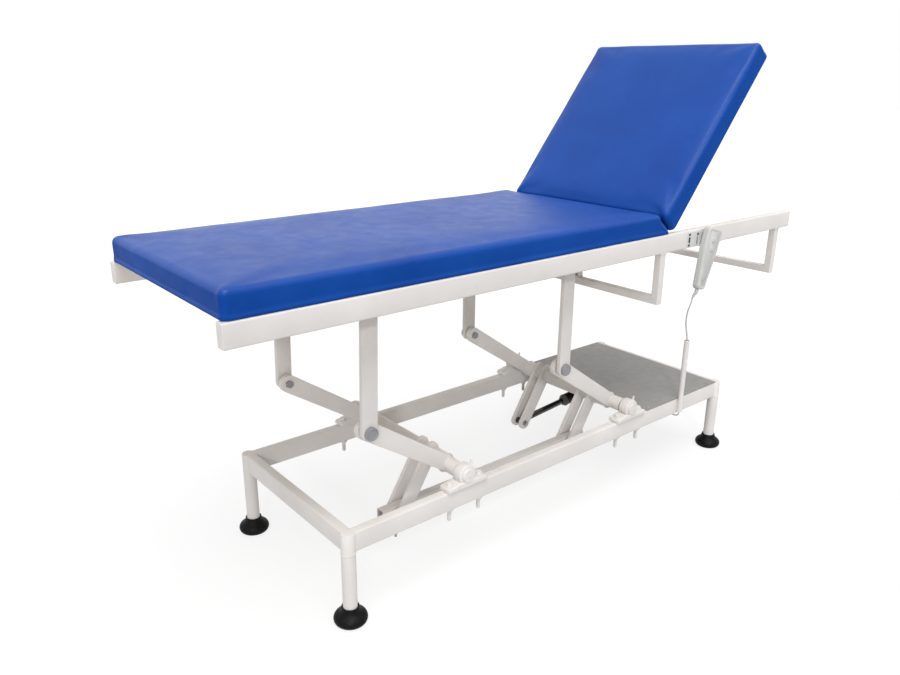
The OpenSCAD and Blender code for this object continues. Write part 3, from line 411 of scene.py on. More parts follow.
def rounded_rectangle(width, height, corner, steps=4):
    points = []
    for n, (sx, sy) in enumerate(((1, 1), (-1, 1), (-1, -1), (1, -1))):
        for k in range(steps + 1):
            a = math.pi / 2 * (n + k / steps)
            points.append((
                sx * (width / 2 - corner) + corner * math.cos(a),
                sy * (height / 2 - corner) + corner * math.sin(a),
            ))
    return points


def mitred(path, profile, side):
    """Copies of a profile at the points of a path, turned halfway at each bend."""
    rows = []
    for i, place in enumerate(path):
        before = (place - path[i - 1]).normalized() if i else None
        after = (path[i + 1] - place).normalized() if i + 1 < len(path) else None
        along = before or after
        normal = ((before or after) + (after or before)).normalized()
        over = along.cross(side)
        row = []
        for a, b in profile:
            p = side * a + over * b
            row.append(place + p - along * (p.dot(normal) / along.dot(normal)))
        rows.append(row)
    return rows


def shrunk(outline, inset):
    """Outline with every side moved inwards; it runs anticlockwise."""
    if not inset:
        return outline
    points, n = [], len(outline)
    for i in range(n):
        a, b, c = (Vector(outline[(i + k) % n]) for k in (-1, 0, 1))
        n1 = Vector((a.y - b.y, b.x - a.x)).normalized()
        n2 = Vector((b.y - c.y, c.x - b.x)).normalized()
        bisector = (n1 + n2).normalized()
        points.append(b + bisector * (inset / max(bisector.dot(n1), 0.3)))
    return [tuple(p) for p in points]


def arc(cx, cz, radius, start, end, steps):
    angles = [math.radians(start + (end - start) * k / steps) for k in range(steps + 1)]
    return [(cx + radius * math.cos(a), cz + radius * math.sin(a)) for a in angles]


def circle(centre, radius, axis, steps):
    """Points around the Y or Z axis through a centre."""
    x, y, z = centre
    points = arc(0, 0, radius, 0, 360, steps)[:-1]
    return [(x + a, y, z + b) if axis == "Y" else (x + a, y + b, z) for a, b in points]


def link(start, end, r0, r1):
    """Bar outline with a round end about each of two points."""
    (x0, z0), (x1, z1), steps = start, end, 16
    heading = math.degrees(math.atan2(z1 - z0, x1 - x0))
    turn = math.degrees(math.acos((r0 - r1) / math.hypot(x1 - x0, z1 - z0)))
    far = arc(x1, z1, r1, heading - turn, heading + turn, steps)
    near = arc(x0, z0, r0, heading + turn, heading + 360 - turn, steps)
    return far + near


# Length of one ripple of a weld bead
BEAD_STEP = 3.5


def weld(shape, loop, radius):
    """Rippled weld bead along a closed loop of points."""
    loop = [Vector(p) for p in loop]
    path = []
    for a, b in zip(loop, loop[1:] + loop[:1]):
        count = max(2, round((b - a).length / BEAD_STEP))
        path.extend(a.lerp(b, k / count) for k in range(count))
    rows = []
    for i, place in enumerate(path):
        along = (path[(i + 1) % len(path)] - path[i - 1]).normalized()
        upright = abs(along.z) > 0.9
        u = (along.orthogonal() if upright else along.cross(Vector((0, 0, 1)))).normalized()
        v = along.cross(u)
        r = radius * (1 + 0.16 * (i % 2) + 0.1 * math.sin(i * 1.7))
        rows.append([
            place + (u * math.cos(t) + v * math.sin(t)) * r
            for t in (2 * math.pi * k / 8 for k in range(8))
        ])
    shape.skin([shape.ring(row) for row in rows + rows[:1]])


def loop_round(cx, cy, z, half_x, half_y):
    corners = ((-1, -1), (1, -1), (1, 1), (-1, 1))
    return [(cx + sx * half_x, cy + sy * half_y, z) for sx, sy in corners]


def painted(name, body, shape, *replaced):
    add_piece(name, body, WHITE, shape.data(), replaced)


# Base frame
RAIL_Z = BASE_TOP - TUBE_H / 2
RAIL_Y = BASE_W / 2 - TUBE_HALF
RAIL_X = BASE_L / 2 - TUBE_HALF
LEG_X, LEG_Y = BASE_L / 2 - LEG_IN, BASE_W / 2 - LEG_IN
END_Y = BASE_W / 2 - TUBE_T
SIDES = ((-1, "left"), (1, "right"))
for sign, side in SIDES:
    rail = Shape().tube([(x, sign * RAIL_Y, RAIL_Z) for x in (-LEG_X, LEG_X)], (0, 1, 0))
    painted(f"base_side_{side}", "base", rail, f"base_rail_{side}")
for sign, end in ((-1, "foot"), (1, "head")):
    rail = Shape().tube([(sign * RAIL_X, y, RAIL_Z) for y in (-END_Y, END_Y)], (1, 0, 0))
    painted(f"base_end_{end}", "base", rail, f"base_rail_{end}")

leg_tubes, leg_feet, leg_welds = Shape(), Shape(), Shape()
LEG_R = LEG_D / 2
FOOT_PROFILE = [
    (30, 0.3), (33, 0), (35.5, 1.5), (38, 4.5), (39.6, 8.5), (39.9, 12), (39, 16), (37, 19.5),
    (34, 22.5), (30.5, 25), (27, 27.4), (24.4, 30), (22.8, 33), (21.8, 36.5), (21.2, 40),
    (20.6, 41.6), (19.6, 42), (18.2, 41.7), (17.4, 40.8), (17.1, 39), (17, 30),
]
LEG_PROFILE = [
    (LEG_R, 10), (LEG_R, 150), (LEG_R, BASE_TOP - 1.4), (LEG_R - 0.7, BASE_TOP),
    (LEG_R - 2.2, BASE_TOP + 0.4),
]
for x in (-LEG_X, LEG_X):
    for y in (-LEG_Y, LEG_Y):
        leg_tubes.turned(LEG_PROFILE, (x, y, 0))
        leg_feet.turned(FOOT_PROFILE, (x, y, 0), sides=56)
        weld(leg_welds, circle((x, y, BASE_TOP - TUBE_H - 0.4), LEG_R + 0.2, "Z", 24), 0.8)
painted("leg_tubes", "base", leg_tubes, "legs")
painted("leg_welds", "base", leg_welds)
add_piece("rubber_feet", "base", RUBBER, leg_feet.data(), ["ferrules"])

# Pillow blocks with their bolts
for pivot, place in ((FOOT_PIVOT_X, "foot"), (HEAD_PIVOT_X, "head")):
    for sign, side in SIDES:
        block = Shape()
        y = sign * RAIL_Y
        foot = [
            (-63.5, 2), (-61, 0.3), (61, 0.3), (63.5, 2), (62.5, 9.5), (59, 12.5), (40, 13.8), (33, 17),
            (-33, 17), (-40, 13.8), (-59, 12.5), (-62.5, 9.5),
        ]
        block.plate([(pivot + a, BASE_TOP + b) for a, b in foot], y - 19, y + 19, 2.5)
        dome = arc(pivot, PIVOT_Z, DOME_R, -62, 242, 36)
        block.plate(dome, y - 15, y + 15, 4)
        rings = [(22, 14), (18.4, 15), (18, 19), (16.5, 20.4)]
        both = [(r, -a) for r, a in reversed(rings)] + rings
        block.turned(both, (pivot, y, PIVOT_Z), (0, 1, 0))
        nipple = [(4, 24.5), (4, 28.5), (2.4, 29.1), (2.4, 31.5), (3.2, 32.5), (2.6, 35), (1.2, 35.9)]
        block.turned(nipple, (pivot + 12, y, PIVOT_Z - 3), (0.35, 0, 1), 16)
        painted(f"pillow_block_{place}_{side}", "base", block, f"bearing_{place}_{side}")

bolts = Shape()
for pivot in (FOOT_PIVOT_X, HEAD_PIVOT_X):
    for dx in (-BOLT_DX, BOLT_DX):
        for sign, _ in SIDES:
            at = (pivot + dx, sign * RAIL_Y, 0)
            thread = [(2, BASE_TOP - 86), (4.4, BASE_TOP - 83)]
            z = BASE_TOP - 82.5
            while z < BASE_TOP - 51:
                thread += [(5, z), (5, z + 0.5), (4.45, z + 0.9)]
                z += 1.5
            bolts.turned(thread, at, sides=20)
            nut = [(8.3, -58.4), (9.2, -57.4), (9.2, -53.4), (8.6, -52.2)]
            bolts.turned([(r, BASE_TOP + h) for r, h in nut], at, sides=6)
            bolts.turned([(11.5, BASE_TOP - 52.2), (11.5, BASE_TOP - 50)], at, sides=32)
            bolts.turned([(11, BASE_TOP + 13), (11, BASE_TOP + 15)], at, sides=32)
            head = [(9.2, 15), (9.2, 19.6), (8.2, 21), (6.5, 21.3)]
            bolts.turned([(r, BASE_TOP + h) for r, h in head], at, sides=6)
painted("block_bolts", "base", bolts, "bearing_bolts")

# Conduit of the handset's cord
conduit = Shape().turned([
    (6.5, 190), (7.4, 190), (8, 190.8), (8, 425.5), (7.6, 427.3), (6.9, 428), (6.3, 427.6), (6.1, 426),
    (6.1, 192),
], (CONDUIT_X, CONDUIT_Y, 0), sides=32)
SEAM_HEIGHTS = (193, 205, 217, 229)
seam = [(CONDUIT_X - 6, CONDUIT_Y + 7, z) for z in SEAM_HEIGHTS]
seam += [(CONDUIT_X + 6, CONDUIT_Y + 7, z) for z in reversed(SEAM_HEIGHTS)]
weld(conduit, seam, 1.8)
painted("cord_conduit", "base", conduit, "conduit")

# Lifting linkage
ARM_DX = ARM_L * math.cos(math.radians(ARM_RISE))
ARM_DZ = ARM_L * math.sin(math.radians(ARM_RISE))
TOP_PIVOT_Z = PIVOT_Z + ARM_DZ
LEVER = math.radians(270 - ARM_RISE)
LEVER_DX, LEVER_DZ = LEVER_L * math.cos(LEVER), LEVER_L * math.sin(LEVER)
for pivot, place in ((FOOT_PIVOT_X, "foot"), (HEAD_PIVOT_X, "head")):
    body = f"{place}_arms"
    half = [
        (7.5, 262), (9.4, 261), (10, 259), (10, SPACER_END + 0.4), (19, SPACER_END),
        (20, SPACER_END - 1), (20, ARM_Y + 0.5), (22.4, ARM_Y), (23.5, ARM_Y - 1.2),
    ]
    shaft = [(r, -a) for r, a in half] + [(r, a) for r, a in reversed(half)]
    tube = Shape().turned(shaft, (pivot, 0, PIVOT_Z), (0, 1, 0), 48)
    for sign, _ in SIDES:
        weld(tube, circle((pivot, sign * (ARM_Y - 0.7), PIVOT_Z), 24.4, "Y", 36), 1.6)
    painted(f"cross_shaft_{place}", body, tube, f"torque_tube_{place}")
    arms = Shape()
    top = (pivot - ARM_DX, TOP_PIVOT_Z)
    outline = link((pivot, PIVOT_Z), top, 20, 23)
    for sign, _ in SIDES:
        y0, y1 = sorted((sign * ARM_Y, sign * (ARM_Y + ARM_T)))
        arms.plate(outline, y0, y1, 1.6)
    painted(f"lift_arms_{place}", body, arms, f"arms_{place}")
    levers = Shape()
    pairs = ((TIE_Y, TIE_GAP),) if place == "foot" else ((TIE_Y, TIE_GAP), (ACTUATOR_Y, ROD_GAP))
    lever_pin = (pivot + LEVER_DX, PIVOT_Z + LEVER_DZ)
    bars = link((pivot, PIVOT_Z + LEVER_HEAD), lever_pin, LEVER_R + 0.001, LEVER_R)
    half_t = LEVER_T / 2
    for y, gap in pairs:
        for s in (-gap - half_t, gap + half_t):
            levers.plate(bars, y + s - half_t, y + s + half_t, 1.2)
            for edge in (-half_t - 0.6, half_t + 0.6):
                weld(levers, circle((pivot, y + s + edge, PIVOT_Z), 24.2, "Y", 36), 1.5)
    painted(f"lever_bars_{place}", body, levers, f"levers_{place}")
    pins = Shape()
    for y, gap in pairs:
        at = (lever_pin[0], y, lever_pin[1])
        half_pin = gap + LEVER_T
        for s in (-1, 1):
            end = [(9.6, 0), (9.6, 1.5), (8.6, 2), (8.6, 4.4), (5.6, 5)]
            if gap == ROD_GAP:
                end += [(5.6, 8.4), (4.8, 9)]
            pins.turned([(r, half_pin + a) for r, a in end], at, (0, s, 0), 24)
        pins.turned([(5.9, -half_pin - 1), (5.9, half_pin + 1)], at, (0, 1, 0), 24)
    name = "lever_pin_foot" if place == "foot" else "lever_pins_head"
    add_piece(f"lever_bolts_{place}", body, STEEL, pins.data(), [name])
    caps = Shape()
    for sign, _ in SIDES:
        at = (top[0], 0, top[1])
        cap = [
            (16, CAP_Y), (16.5, CAP_Y + 0.5), (16.5, CAP_Y + 7.4), (15.9, CAP_Y + 8.8),
            (14.4, CAP_Y + 9.7), (13, CAP_Y + 9.8), (12.2, CAP_Y + 9.2), (11.4, CAP_Y + 8.2),
            (5, CAP_Y + 8.4),
        ]
        caps.turned(cap, at, (0, sign, 0), 40)
        caps.turned([(7.9, ARM_Y - 1), (7.9, CAP_Y + 1)], at, (0, sign, 0), 24)
        caps.turned([(12, ARM_Y + ARM_T), (12, STRUT_Y - 0.3)], at, (0, sign, 0), 32)
        caps.turned([(9.4, ARM_Y - 8), (10.4, ARM_Y - 7.2), (10.4, ARM_Y)], at, (0, sign, 0), 6)
    name = f"pivot_pins_{place}"
    add_piece(f"pivot_caps_{place}", body, CAP_PLASTIC, caps.data(), [name])

tie_x, tie_z = FOOT_PIVOT_X + LEVER_DX, PIVOT_Z + LEVER_DZ
tie_path = [(tie_x - 54, TIE_Y, tie_z), (tie_x + TIE_L + 67, TIE_Y, tie_z)]
tie = Shape().tube(tie_path, (0, 1, 0), wall=2)
for x in (tie_x, tie_x + TIE_L):
    tie.turned([(10, -15.5), (11, -14.8), (11, 14.8), (10, 15.5)], (x, TIE_Y, tie_z), (0, 1, 0), 32)
painted("tie_tube", "tie_bar", tie, "tie_bar")

# Top frame
TOP_END = TOP_X + TOP_L
TOP_MID_Z = RAIL_TOP - TUBE_H / 2
TOP_RAIL_Y = TOP_W / 2 - TUBE_HALF
STRUT_XS = (FOOT_PIVOT_X - ARM_DX, HEAD_PIVOT_X - ARM_DX)
HOOP_FOOT_X, HOOP_HEAD_X = TOP_END - 670, TOP_END - 70
for sign, side in SIDES:
    path = [(x, sign * TOP_RAIL_Y, TOP_MID_Z) for x in (TOP_X + 2, TOP_END - 2)]
    painted(f"top_tube_{side}", "top_frame", Shape().tube(path, (0, 1, 0)), f"top_rail_{side}")
plugs = Shape()
for sign, _ in SIDES:
    for x, out in ((TOP_X, -1), (TOP_END, 1)):
        rows = []
        for inset, along in ((2.6, 0), (1.2, 0.15), (0.4, 0.7), (0.2, 1.4), (0.2, 3)):
            profile = rounded_rectangle(TUBE_T - 2 * inset, TUBE_H - 2 * inset, TUBE_R)
            rows.append([(x - out * along, sign * TOP_RAIL_Y + a, TOP_MID_Z + b) for a, b in profile])
        plugs.loft(rows)
add_piece("end_plugs", "top_frame", WHITE, plugs.data(), ["rail_plugs"])

cross_tubes, strut_welds, struts = Shape(), Shape(), Shape()
for x in (*STRUT_XS, HOOP_FOOT_X):
    z = RAIL_TOP - CROSS_T / 2
    ends = TOP_W / 2 - TUBE_T
    cross_tubes.tube([(x, y, z) for y in (-ends - 0.5, ends + 0.5)], (1, 0, 0), CROSS_T, CROSS_T)
    for sign, _ in SIDES:
        corners = [(x + a, sign * ends, z + b) for a, b in rounded_rectangle(41, 38, TUBE_R, 2)]
        weld(strut_welds, corners, 1.6)
for x, top_x in ((STRUT_XS[0], STRUT_XS[0] + STRUT_LEAN), (STRUT_XS[1], STRUT_XS[1])):
    top_z = RAIL_TOP - CROSS_T
    outline = arc(x, TOP_PIVOT_Z, STRUT_R, 180, 360, 24)
    outline += [(top_x + STRUT_R, top_z), (top_x - STRUT_R, top_z)]
    for sign, _ in SIDES:
        y0, y1 = sorted((sign * STRUT_Y, sign * (STRUT_Y + STRUT_T)))
        struts.plate(outline, y0, y1, 1.5)
        middle = sign * (STRUT_Y + STRUT_T / 2)
        weld(strut_welds, loop_round(top_x, middle, top_z - 0.4, 20, 6.1), 1.5)
painted("cross_tubes", "top_frame", cross_tubes, "cross_members")
painted("strut_tubes", "top_frame", struts, "struts")
painted("frame_welds", "top_frame", strut_welds)
for x, end in ((HOOP_FOOT_X, "foot"), (HOOP_HEAD_X, "head")):
    half = TOP_W / 2 - HOOP_T / 2
    low = TOP_Z - HOOP_DROP + HOOP_T / 2
    path = [(x, -half, TOP_Z + 0.5), (x, -half, low), (x, half, low), (x, half, TOP_Z + 0.5)]
    hoop = Shape().tube(path, (1, 0, 0), HOOP_T, HOOP_T, 2.5)
    for sign, _ in SIDES:
        weld(hoop, loop_round(x, sign * half, TOP_Z - 0.6, 11.2, 11.2), 1.5)
    painted(f"end_hoop_{end}", "top_frame", hoop, f"hoop_{end}")

# Backrest frame
back_turn = Matrix.Rotation(math.radians(-BACK_ANGLE), 4, "Y")
on_back = Matrix.Translation((HINGE_X, 0, HINGE_Z)) @ back_turn
back_tubes = Shape()
for sign, _ in SIDES:
    outline = arc(0, 0, TUBE_HALF, 90, 270, 16)
    outline += [(BACK_TUBE_L, -TUBE_HALF), (BACK_TUBE_L, TUBE_HALF)]
    y = sign * BACK_TUBE_Y
    back_tubes.plate(outline, y - TUBE_HALF, y + TUBE_HALF, 2.2)
back_tubes.vertices = [on_back @ v for v in back_tubes.vertices]
painted("back_side_tubes", "backrest", back_tubes, "backrest_rails")

# Cushions: a fine rounded block, swelled by a cloth simulation and then creased
def grid_lines(span, edge, step):
    near = list(edge)
    count = round((span - 2 * near[-1]) / step)
    middle = [near[-1] + (span - 2 * near[-1]) * k / count for k in range(1, count)]
    return near + middle + [span - e for e in reversed(near)]


# Radii of a cover's corners and upper edges, and how far and up to what height its foot is drawn in
CORNER_R, EDGE_R, DRAW, DRAW_TOP = 19, 15, 3.5, 24
# Rise of its middle, and the curve of a slanted end
CROWN, TOE_POWER = 4.2, 1.1
# Grid lines near its edges, and the step between the others
EDGE_LINES, GRID_STEP = (0, 4, 8, 12, 17, 23, 31, 42), 15
# Room left for the swelling, and the most that a point moves in it
SWELL_ROOM, SWELL_CAP = 1.2, 4.5
# Heights below which the hem is held, and is left without waves and folds
HEM_TOP, FOLD_START = 8, 12
# Scale and depth of its broad and its fine waves
BROAD_WAVE, FINE_WAVE = (9, 0.7), (26, 0.3)


def block_point(x, y, z, length, width, height, toe):
    """Moves a point of a box's surface onto a block with rounded corners and upper edges."""
    cx = min(max(x, CORNER_R), length - CORNER_R)
    cy = min(max(y, CORNER_R - width / 2), width / 2 - CORNER_R)
    out = Vector((x - cx, y - cy))
    reach = max(abs(out.x), abs(out.y))
    side = out.normalized() if reach > 0 else Vector((0, 0))
    inner = CORNER_R - EDGE_R
    over, up = reach - inner, z - (height - EDGE_R)
    if over > 0 and up > 0:
        bend = Vector((over, up)).normalized() * EDGE_R
        reach, z = inner + bend.x, height - EDGE_R + bend.y
    reach -= DRAW * max(0, 1 - z / DRAW_TOP) ** 2 * (reach / CORNER_R if reach > 0 else 0)
    u, v = 2 * (cx + side.x * reach) / length - 1, 2 * (cy + side.y * reach) / width
    rise = CROWN * max(0, 1 - u ** 4) * max(0, 1 - v ** 4) if z > height - EDGE_R else 0
    place = Vector((cx + side.x * reach, cy + side.y * reach, z + rise))
    if (place.x - length / 2) * toe > 0:
        place.x += toe * (1 - min(1, max(0, z) / TOE_TOP) ** TOE_POWER)
    return place


def block_mesh(length, width, height, toe):
    """Vertices and quads of the block, from a grid over all six sides of its box."""
    xs = grid_lines(length, EDGE_LINES, GRID_STEP)
    ys = [y - width / 2 for y in grid_lines(width, EDGE_LINES, GRID_STEP)]
    zs = [0, 5, 12, 20, 28, 36] + [height - e for e in (12, 8, 4, 0)]
    index, vertices, faces = {}, [], []

    def vertex(i, j, k):
        if (i, j, k) not in index:
            index[i, j, k] = len(vertices)
            vertices.append(block_point(xs[i], ys[j], zs[k], length, width, height, toe))
        return index[i, j, k]

    def patch(rows, columns, corner):
        for a in range(rows - 1):
            for b in range(columns - 1):
                loop = [corner(a, b), corner(a + 1, b), corner(a + 1, b + 1), corner(a, b + 1)]
                faces.append([vertex(*c) for c in loop])

    nx, ny, nz = len(xs), len(ys), len(zs)
    patch(nx, ny, lambda a, b: (a, b, nz - 1))
    patch(ny, nx, lambda a, b: (b, a, 0))
    patch(nx, nz, lambda a, b: (nx - 1 - a, ny - 1, b))
    patch(nx, nz, lambda a, b: (a, 0, b))
    patch(ny, nz, lambda a, b: (nx - 1, a, b))
    patch(ny, nz, lambda a, b: (0, ny - 1 - a, b))
    return vertices, faces


def swell(obj, cap):
    """Inflates the cover while its lower hem is held, moving no point further than cap."""
    mesh = obj.data
    rest = np.array([v.co for v in mesh.vertices])
    held = obj.vertex_groups.new(name="held")
    for v in mesh.vertices:
        if v.co.z < HEM_TOP * MM:
            held.add([v.index], 1.0, "REPLACE")
    cloth = obj.modifiers.new("swell", "CLOTH")
    settings = cloth.settings
    settings.quality = 6
    settings.mass = 0.35
    settings.tension_stiffness = settings.compression_stiffness = 25
    settings.shear_stiffness = 12
    settings.bending_stiffness = 2.5
    settings.vertex_group_mass = "held"
    settings.use_pressure = True
    settings.uniform_pressure_force = 4
    settings.effector_weights.gravity = 0
    for number in range(1, 21):
        scene.frame_set(number)
    evaluated = obj.evaluated_get(bpy.context.evaluated_depsgraph_get()).to_mesh()
    moved = np.array([v.co for v in evaluated.vertices]) - rest
    obj.modifiers.remove(cloth)
    scene.frame_set(1)
    far = np.linalg.norm(moved, axis=1, keepdims=True)
    moved *= np.minimum(1, cap / np.maximum(far, 1e-9))
    mesh.vertices.foreach_set("co", (rest + moved).ravel())
    mesh.update()


def crease(mesh, strokes, seed):
    """Adds soft undulation to the cover and its folds, each (start, end, width, depth)."""
    for v in mesh.vertices:
        if v.co.z < FOLD_START * MM:
            continue
        wave = 0
        for (scale, depth), offset in ((BROAD_WAVE, (seed, 0, 0)), (FINE_WAVE, (0, seed, 0))):
            wave += noise.noise(v.co * scale + Vector(offset)) * depth * MM
        for start, end, width, depth in strokes:
            a, b = Vector(start) * MM, Vector(end) * MM
            t = min(1, max(0, (v.co - a).dot(b - a) / (b - a).length_squared))
            gap = (v.co - a.lerp(b, t)).length
            fade = math.sin(math.pi * t) ** 0.5 if 0 < t < 1 else 0
            wave -= depth * MM * fade * math.exp(-((gap / (width * MM)) ** 2))
        v.co += v.normal * wave
    mesh.update()


def cushion(name, length, toe, body, place, replaced, strokes, seed):
    """Padded cover on a body, with its lower side a hair above its board."""
    room = SWELL_ROOM
    vertices, faces = block_mesh(length - 2 * room, TOP_W - 2 * room, PAD_T - room, toe)
    vertices = [(x + room, y, z + 0.8) for x, y, z in vertices]
    mesh = bpy.data.meshes.new(name)
    mesh.from_pydata(metres(vertices), [], faces)
    obj = bpy.data.objects.new(name, mesh)
    scene.collection.objects.link(obj)
    swell(obj, SWELL_CAP * MM)
    crease(mesh, strokes, seed)
    finer = obj.modifiers.new("finer", "SUBSURF")
    finer.levels = finer.render_levels = 1
    whole = bpy.data.meshes.new_from_object(obj.evaluated_get(bpy.context.evaluated_depsgraph_get()))
    obj.modifiers.clear()
    obj.data = whole
    whole.transform(place)
    whole.materials.append(BLUE)
    whole.shade_smooth()
    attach(obj, body)
    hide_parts(replaced)


seat_place = Matrix.Translation(Vector((TOP_X, 0, RAIL_TOP)) * MM)
back_place = Matrix.Translation(Vector((HINGE_X, 0, HINGE_Z)) * MM) @ back_turn
back_place = back_place @ Matrix.Translation(Vector((BACK_START, 0, TUBE_HALF)) * MM)
SEAT_FOLDS = [
    ((1252, -285, 58), (1150, -215, 65), 7, 1.6), ((1255, -262, 58), (1185, -150, 65), 6, 1.2),
    ((1252, 285, 58), (1160, 220, 65), 7, 1.4), ((12, -288, 56), (70, -240, 64), 7, 0.9),
    ((12, 288, 56), (80, 245, 64), 7, 0.9), ((1240, -299, 12), (1215, -299, 48), 5, 1.2),
    ((20, -299, 10), (34, -299, 46), 4, 0.9), ((1.5, -280, 12), (1.5, -262, 50), 4, 1.0),
]
BACK_FOLDS = [
    ((560, -292, 56), (60, -286, 58), 6, 1.3), ((8, -280, 52), (70, -215, 64), 8, 1.6),
    ((8, 280, 52), (70, 215, 64), 8, 1.6), ((592, -288, 54), (540, -235, 64), 7, 1.0),
    ((592, 288, 54), (540, 235, 64), 7, 1.0),
]
cushion("seat_pad", SEAT_L, SEAT_TOE, "top_frame", seat_place, "seat_cushion", SEAT_FOLDS, 3)
cushion("back_pad", BACK_L, BACK_TOE, "backrest", back_place, "backrest_cushion", BACK_FOLDS, 11)

# Handset's shell and lamp
on_handset = Matrix.Translation((STUD[0], -HANDSET_BACK, STUD[1])) @ Matrix.Rotation(
    math.radians(HANDSET_LEAN), 4, "Y"
) @ Matrix.Translation((0, 0, HANDSET_TOP))


def handset_outline(inset):
    r = max(12 - inset, 4)
    w1, w2, bottom = 35 - inset, 19 - inset, inset - HANDSET_L
    shoulder = [(33 - inset, -64), (33.9 - inset, -58), (34.2 - inset, -52)]
    return (
        arc(w2 - r, bottom + r, r, -90, 0, 6) + shoulder + arc(w1 - r, -inset - r, r, 0, 90, 6)
        + arc(r - w1, -inset - r, r, 90, 180, 6) + [(-x, z) for x, z in reversed(shoulder)]
        + arc(r - w2, bottom + r, r, 180, 270, 6)
    )


def on_shell(shape):
    shape.vertices = [on_handset @ v for v in shape.vertices]


shell = Shape()
SHELL_ROWS = [
    (5, 0), (3, -0.3), (1.4, -1.2), (0.4, -2.6), (0, -4.4), (0, -10.4), (0.7, -10.8), (0.7, -11.4),
    (0, -11.8), (0, -16.5), (0.5, -18.6), (1.6, -20.3), (3.2, -21.4), (5.2, -21.9), (9, -22),
    (9.4, -21.5), (10, -21.5), (10.4, -22),
]
shell.loft([[(x, y, z) for x, z in handset_outline(inset)] for inset, y in SHELL_ROWS])
on_shell(shell)
at = (STUD[0], 0, STUD[1])
shell.turned([(3.5, 304), (3.5, 313)], at, (0, -1, 0), 24)
shell.turned([(6, 303), (7, 303.6), (7, 305.4), (6.4, 306)], at, (0, -1, 0), 32)
add_piece("handset_case", "handset", GREY_PLASTIC, shell.data(), ["handset_shell"], 50)
lamp = Shape().turned([(1, 21), (4.4, 21), (4.4, 22.3)], (-7, 0, -152), (0, -1, 0), 32)
on_shell(lamp)
add_piece("handset_lamp", "handset", DIM_PLASTIC, lamp.data())

# Push buttons, each with a raised arrowhead
for v, name, point in ((34, "up", 1), (60, "down", -1)):
    key = Shape()
    rows = [(0, -17), (0, -22.8), (0.5, -23.6), (1.4, -24)]
    key.loft([
        [(a, y, -v + b) for a, b in rounded_rectangle(20 - 2 * i, 15 - 2 * i, 3.4 - i)] for i, y in rows
    ])
    mark = [(-3.4, -2.2 * point), (3.4, -2.2 * point), (0, 3 * point)][::point]
    mark_rows = ((1.05, -23.5), (1, -24.3), (0.8, -24.5))
    key.loft([[(a * s, y, -v + b * s) for a, b in mark] for s, y in mark_rows])
    on_shell(key)
    add_piece(
        f"{name}_key", f"{name}_button", KEY_PLASTIC, key.data(),
        [f"handset_{name}_button"], 40,
    )

# Screws and a slot of the handset's holder, and a dark strip laid on as painted shadow at the end of
# its pocket
CLIP_X, CLIP_Z0 = 384, RAIL_TOP - 47
screws_slot_and_shade = Shape()
for x, z in ((9, 6), (9, 36), (47.5, 34)):
    at = (CLIP_X + x, 0, CLIP_Z0 + z)
    screws_slot_and_shade.turned([(3.9, 300.2), (3.9, 302.3), (3.2, 302.9), (1, 303)], at, (0, -1, 0), 24)
# The narrow 3 by 22 mark at x 46 is no slot: it is painted shadow of the pocket's end wall
for x, z, width, height in ((9, 21, 7, 16), (46, 16, 3, 22)):
    slot = rounded_rectangle(width, height, 1.2)
    screws_slot_and_shade.loft([
        [(CLIP_X + x + a, y, CLIP_Z0 + z + b) for a, b in slot] for y in (-302.4, -301.5)
    ])
add_piece("holder_screws_and_shade", "top_frame", DARK_PLASTIC, screws_slot_and_shade.data())

# Actuator's rod with its eye, and its tapered collar, on the line from its pin to its rear mount
pin = Vector((HEAD_PIVOT_X + LEVER_DX, ACTUATOR_Y, PIVOT_Z + LEVER_DZ))
mount = Vector((BASE_L / 2 - MOUNT_IN, ACTUATOR_Y, MOUNT_Z))
COLLAR_PROFILE = [
    (10.2, 0.4), (12, 0), (12.8, 0.8), (16.4, 9.5), (18.2, 11), (19.6, 11.6), (20, 12.6), (20, 15.6),
    (19.4, 16), (10.2, 16), (10.2, 8),
]
rod_profile = [(ROD_R - 0.5, 10), (ROD_R, 12), (ROD_R, ROD_SHOW + 39), (ROD_R - 0.5, ROD_SHOW + 40)]
rod = Shape().turned(rod_profile, pin, mount - pin, 40)
rod.turned([(9.4, -11.5), (10.4, -10.5), (10.4, 10.5), (9.4, 11.5)], pin, (0, 1, 0), 40)
add_piece("rod_and_eye", "actuator_rod", BLACK_GLOSS, rod.data(), ["actuator_rod"])
collar = Shape().turned([(r, ROD_SHOW + a) for r, a in COLLAR_PROFILE], pin, mount - pin, 48)
add_piece(
    "collar_cone", "actuator_body", COLLAR_PLASTIC, collar.data(), ["actuator_collar"],
)

# CAD nodes that keep their own shape
KEPT = {
    "base_plate": (GREY_SHEET, 0.7), "plate_screws": (STEEL, 0.3), "earth_stud": (STEEL, 0.4),
    "control_box": (GREY_SHEET, 0.9), "mains_inlet": (DARK_PLASTIC, 0.6),
    "actuator_bracket": (WHITE, 0.7), "hinge_lugs": (WHITE, 0.7), "gas_spring_bracket": (WHITE, 0.5),
    "backrest_bracket": (WHITE, 0.5), "seat_board": (PLY, 0.8), "backrest_board": (PLY, 0.8),
    "backrest_crossbars": (WHITE, 0.6), "hinge_pins": (STEEL, 0.6),
    "gas_spring_cylinder": (BLACK_PAINT, 0.6), "gas_spring_rod": (ROD_STEEL, 0.4),
    "actuator_tube": (BLACK_PAINT, 0.6), "actuator_housing": (BLACK_PAINT, 3.0),
    "actuator_motor": (BLACK_PAINT, 1.5), "handset_clip": (HOLDER_GREY, 0.4),
}
for name, (material, bevel) in KEPT.items():
    dress(name, material, bevel)

# Stage: floor, background and lamps
scene.view_settings.view_transform = "Standard"


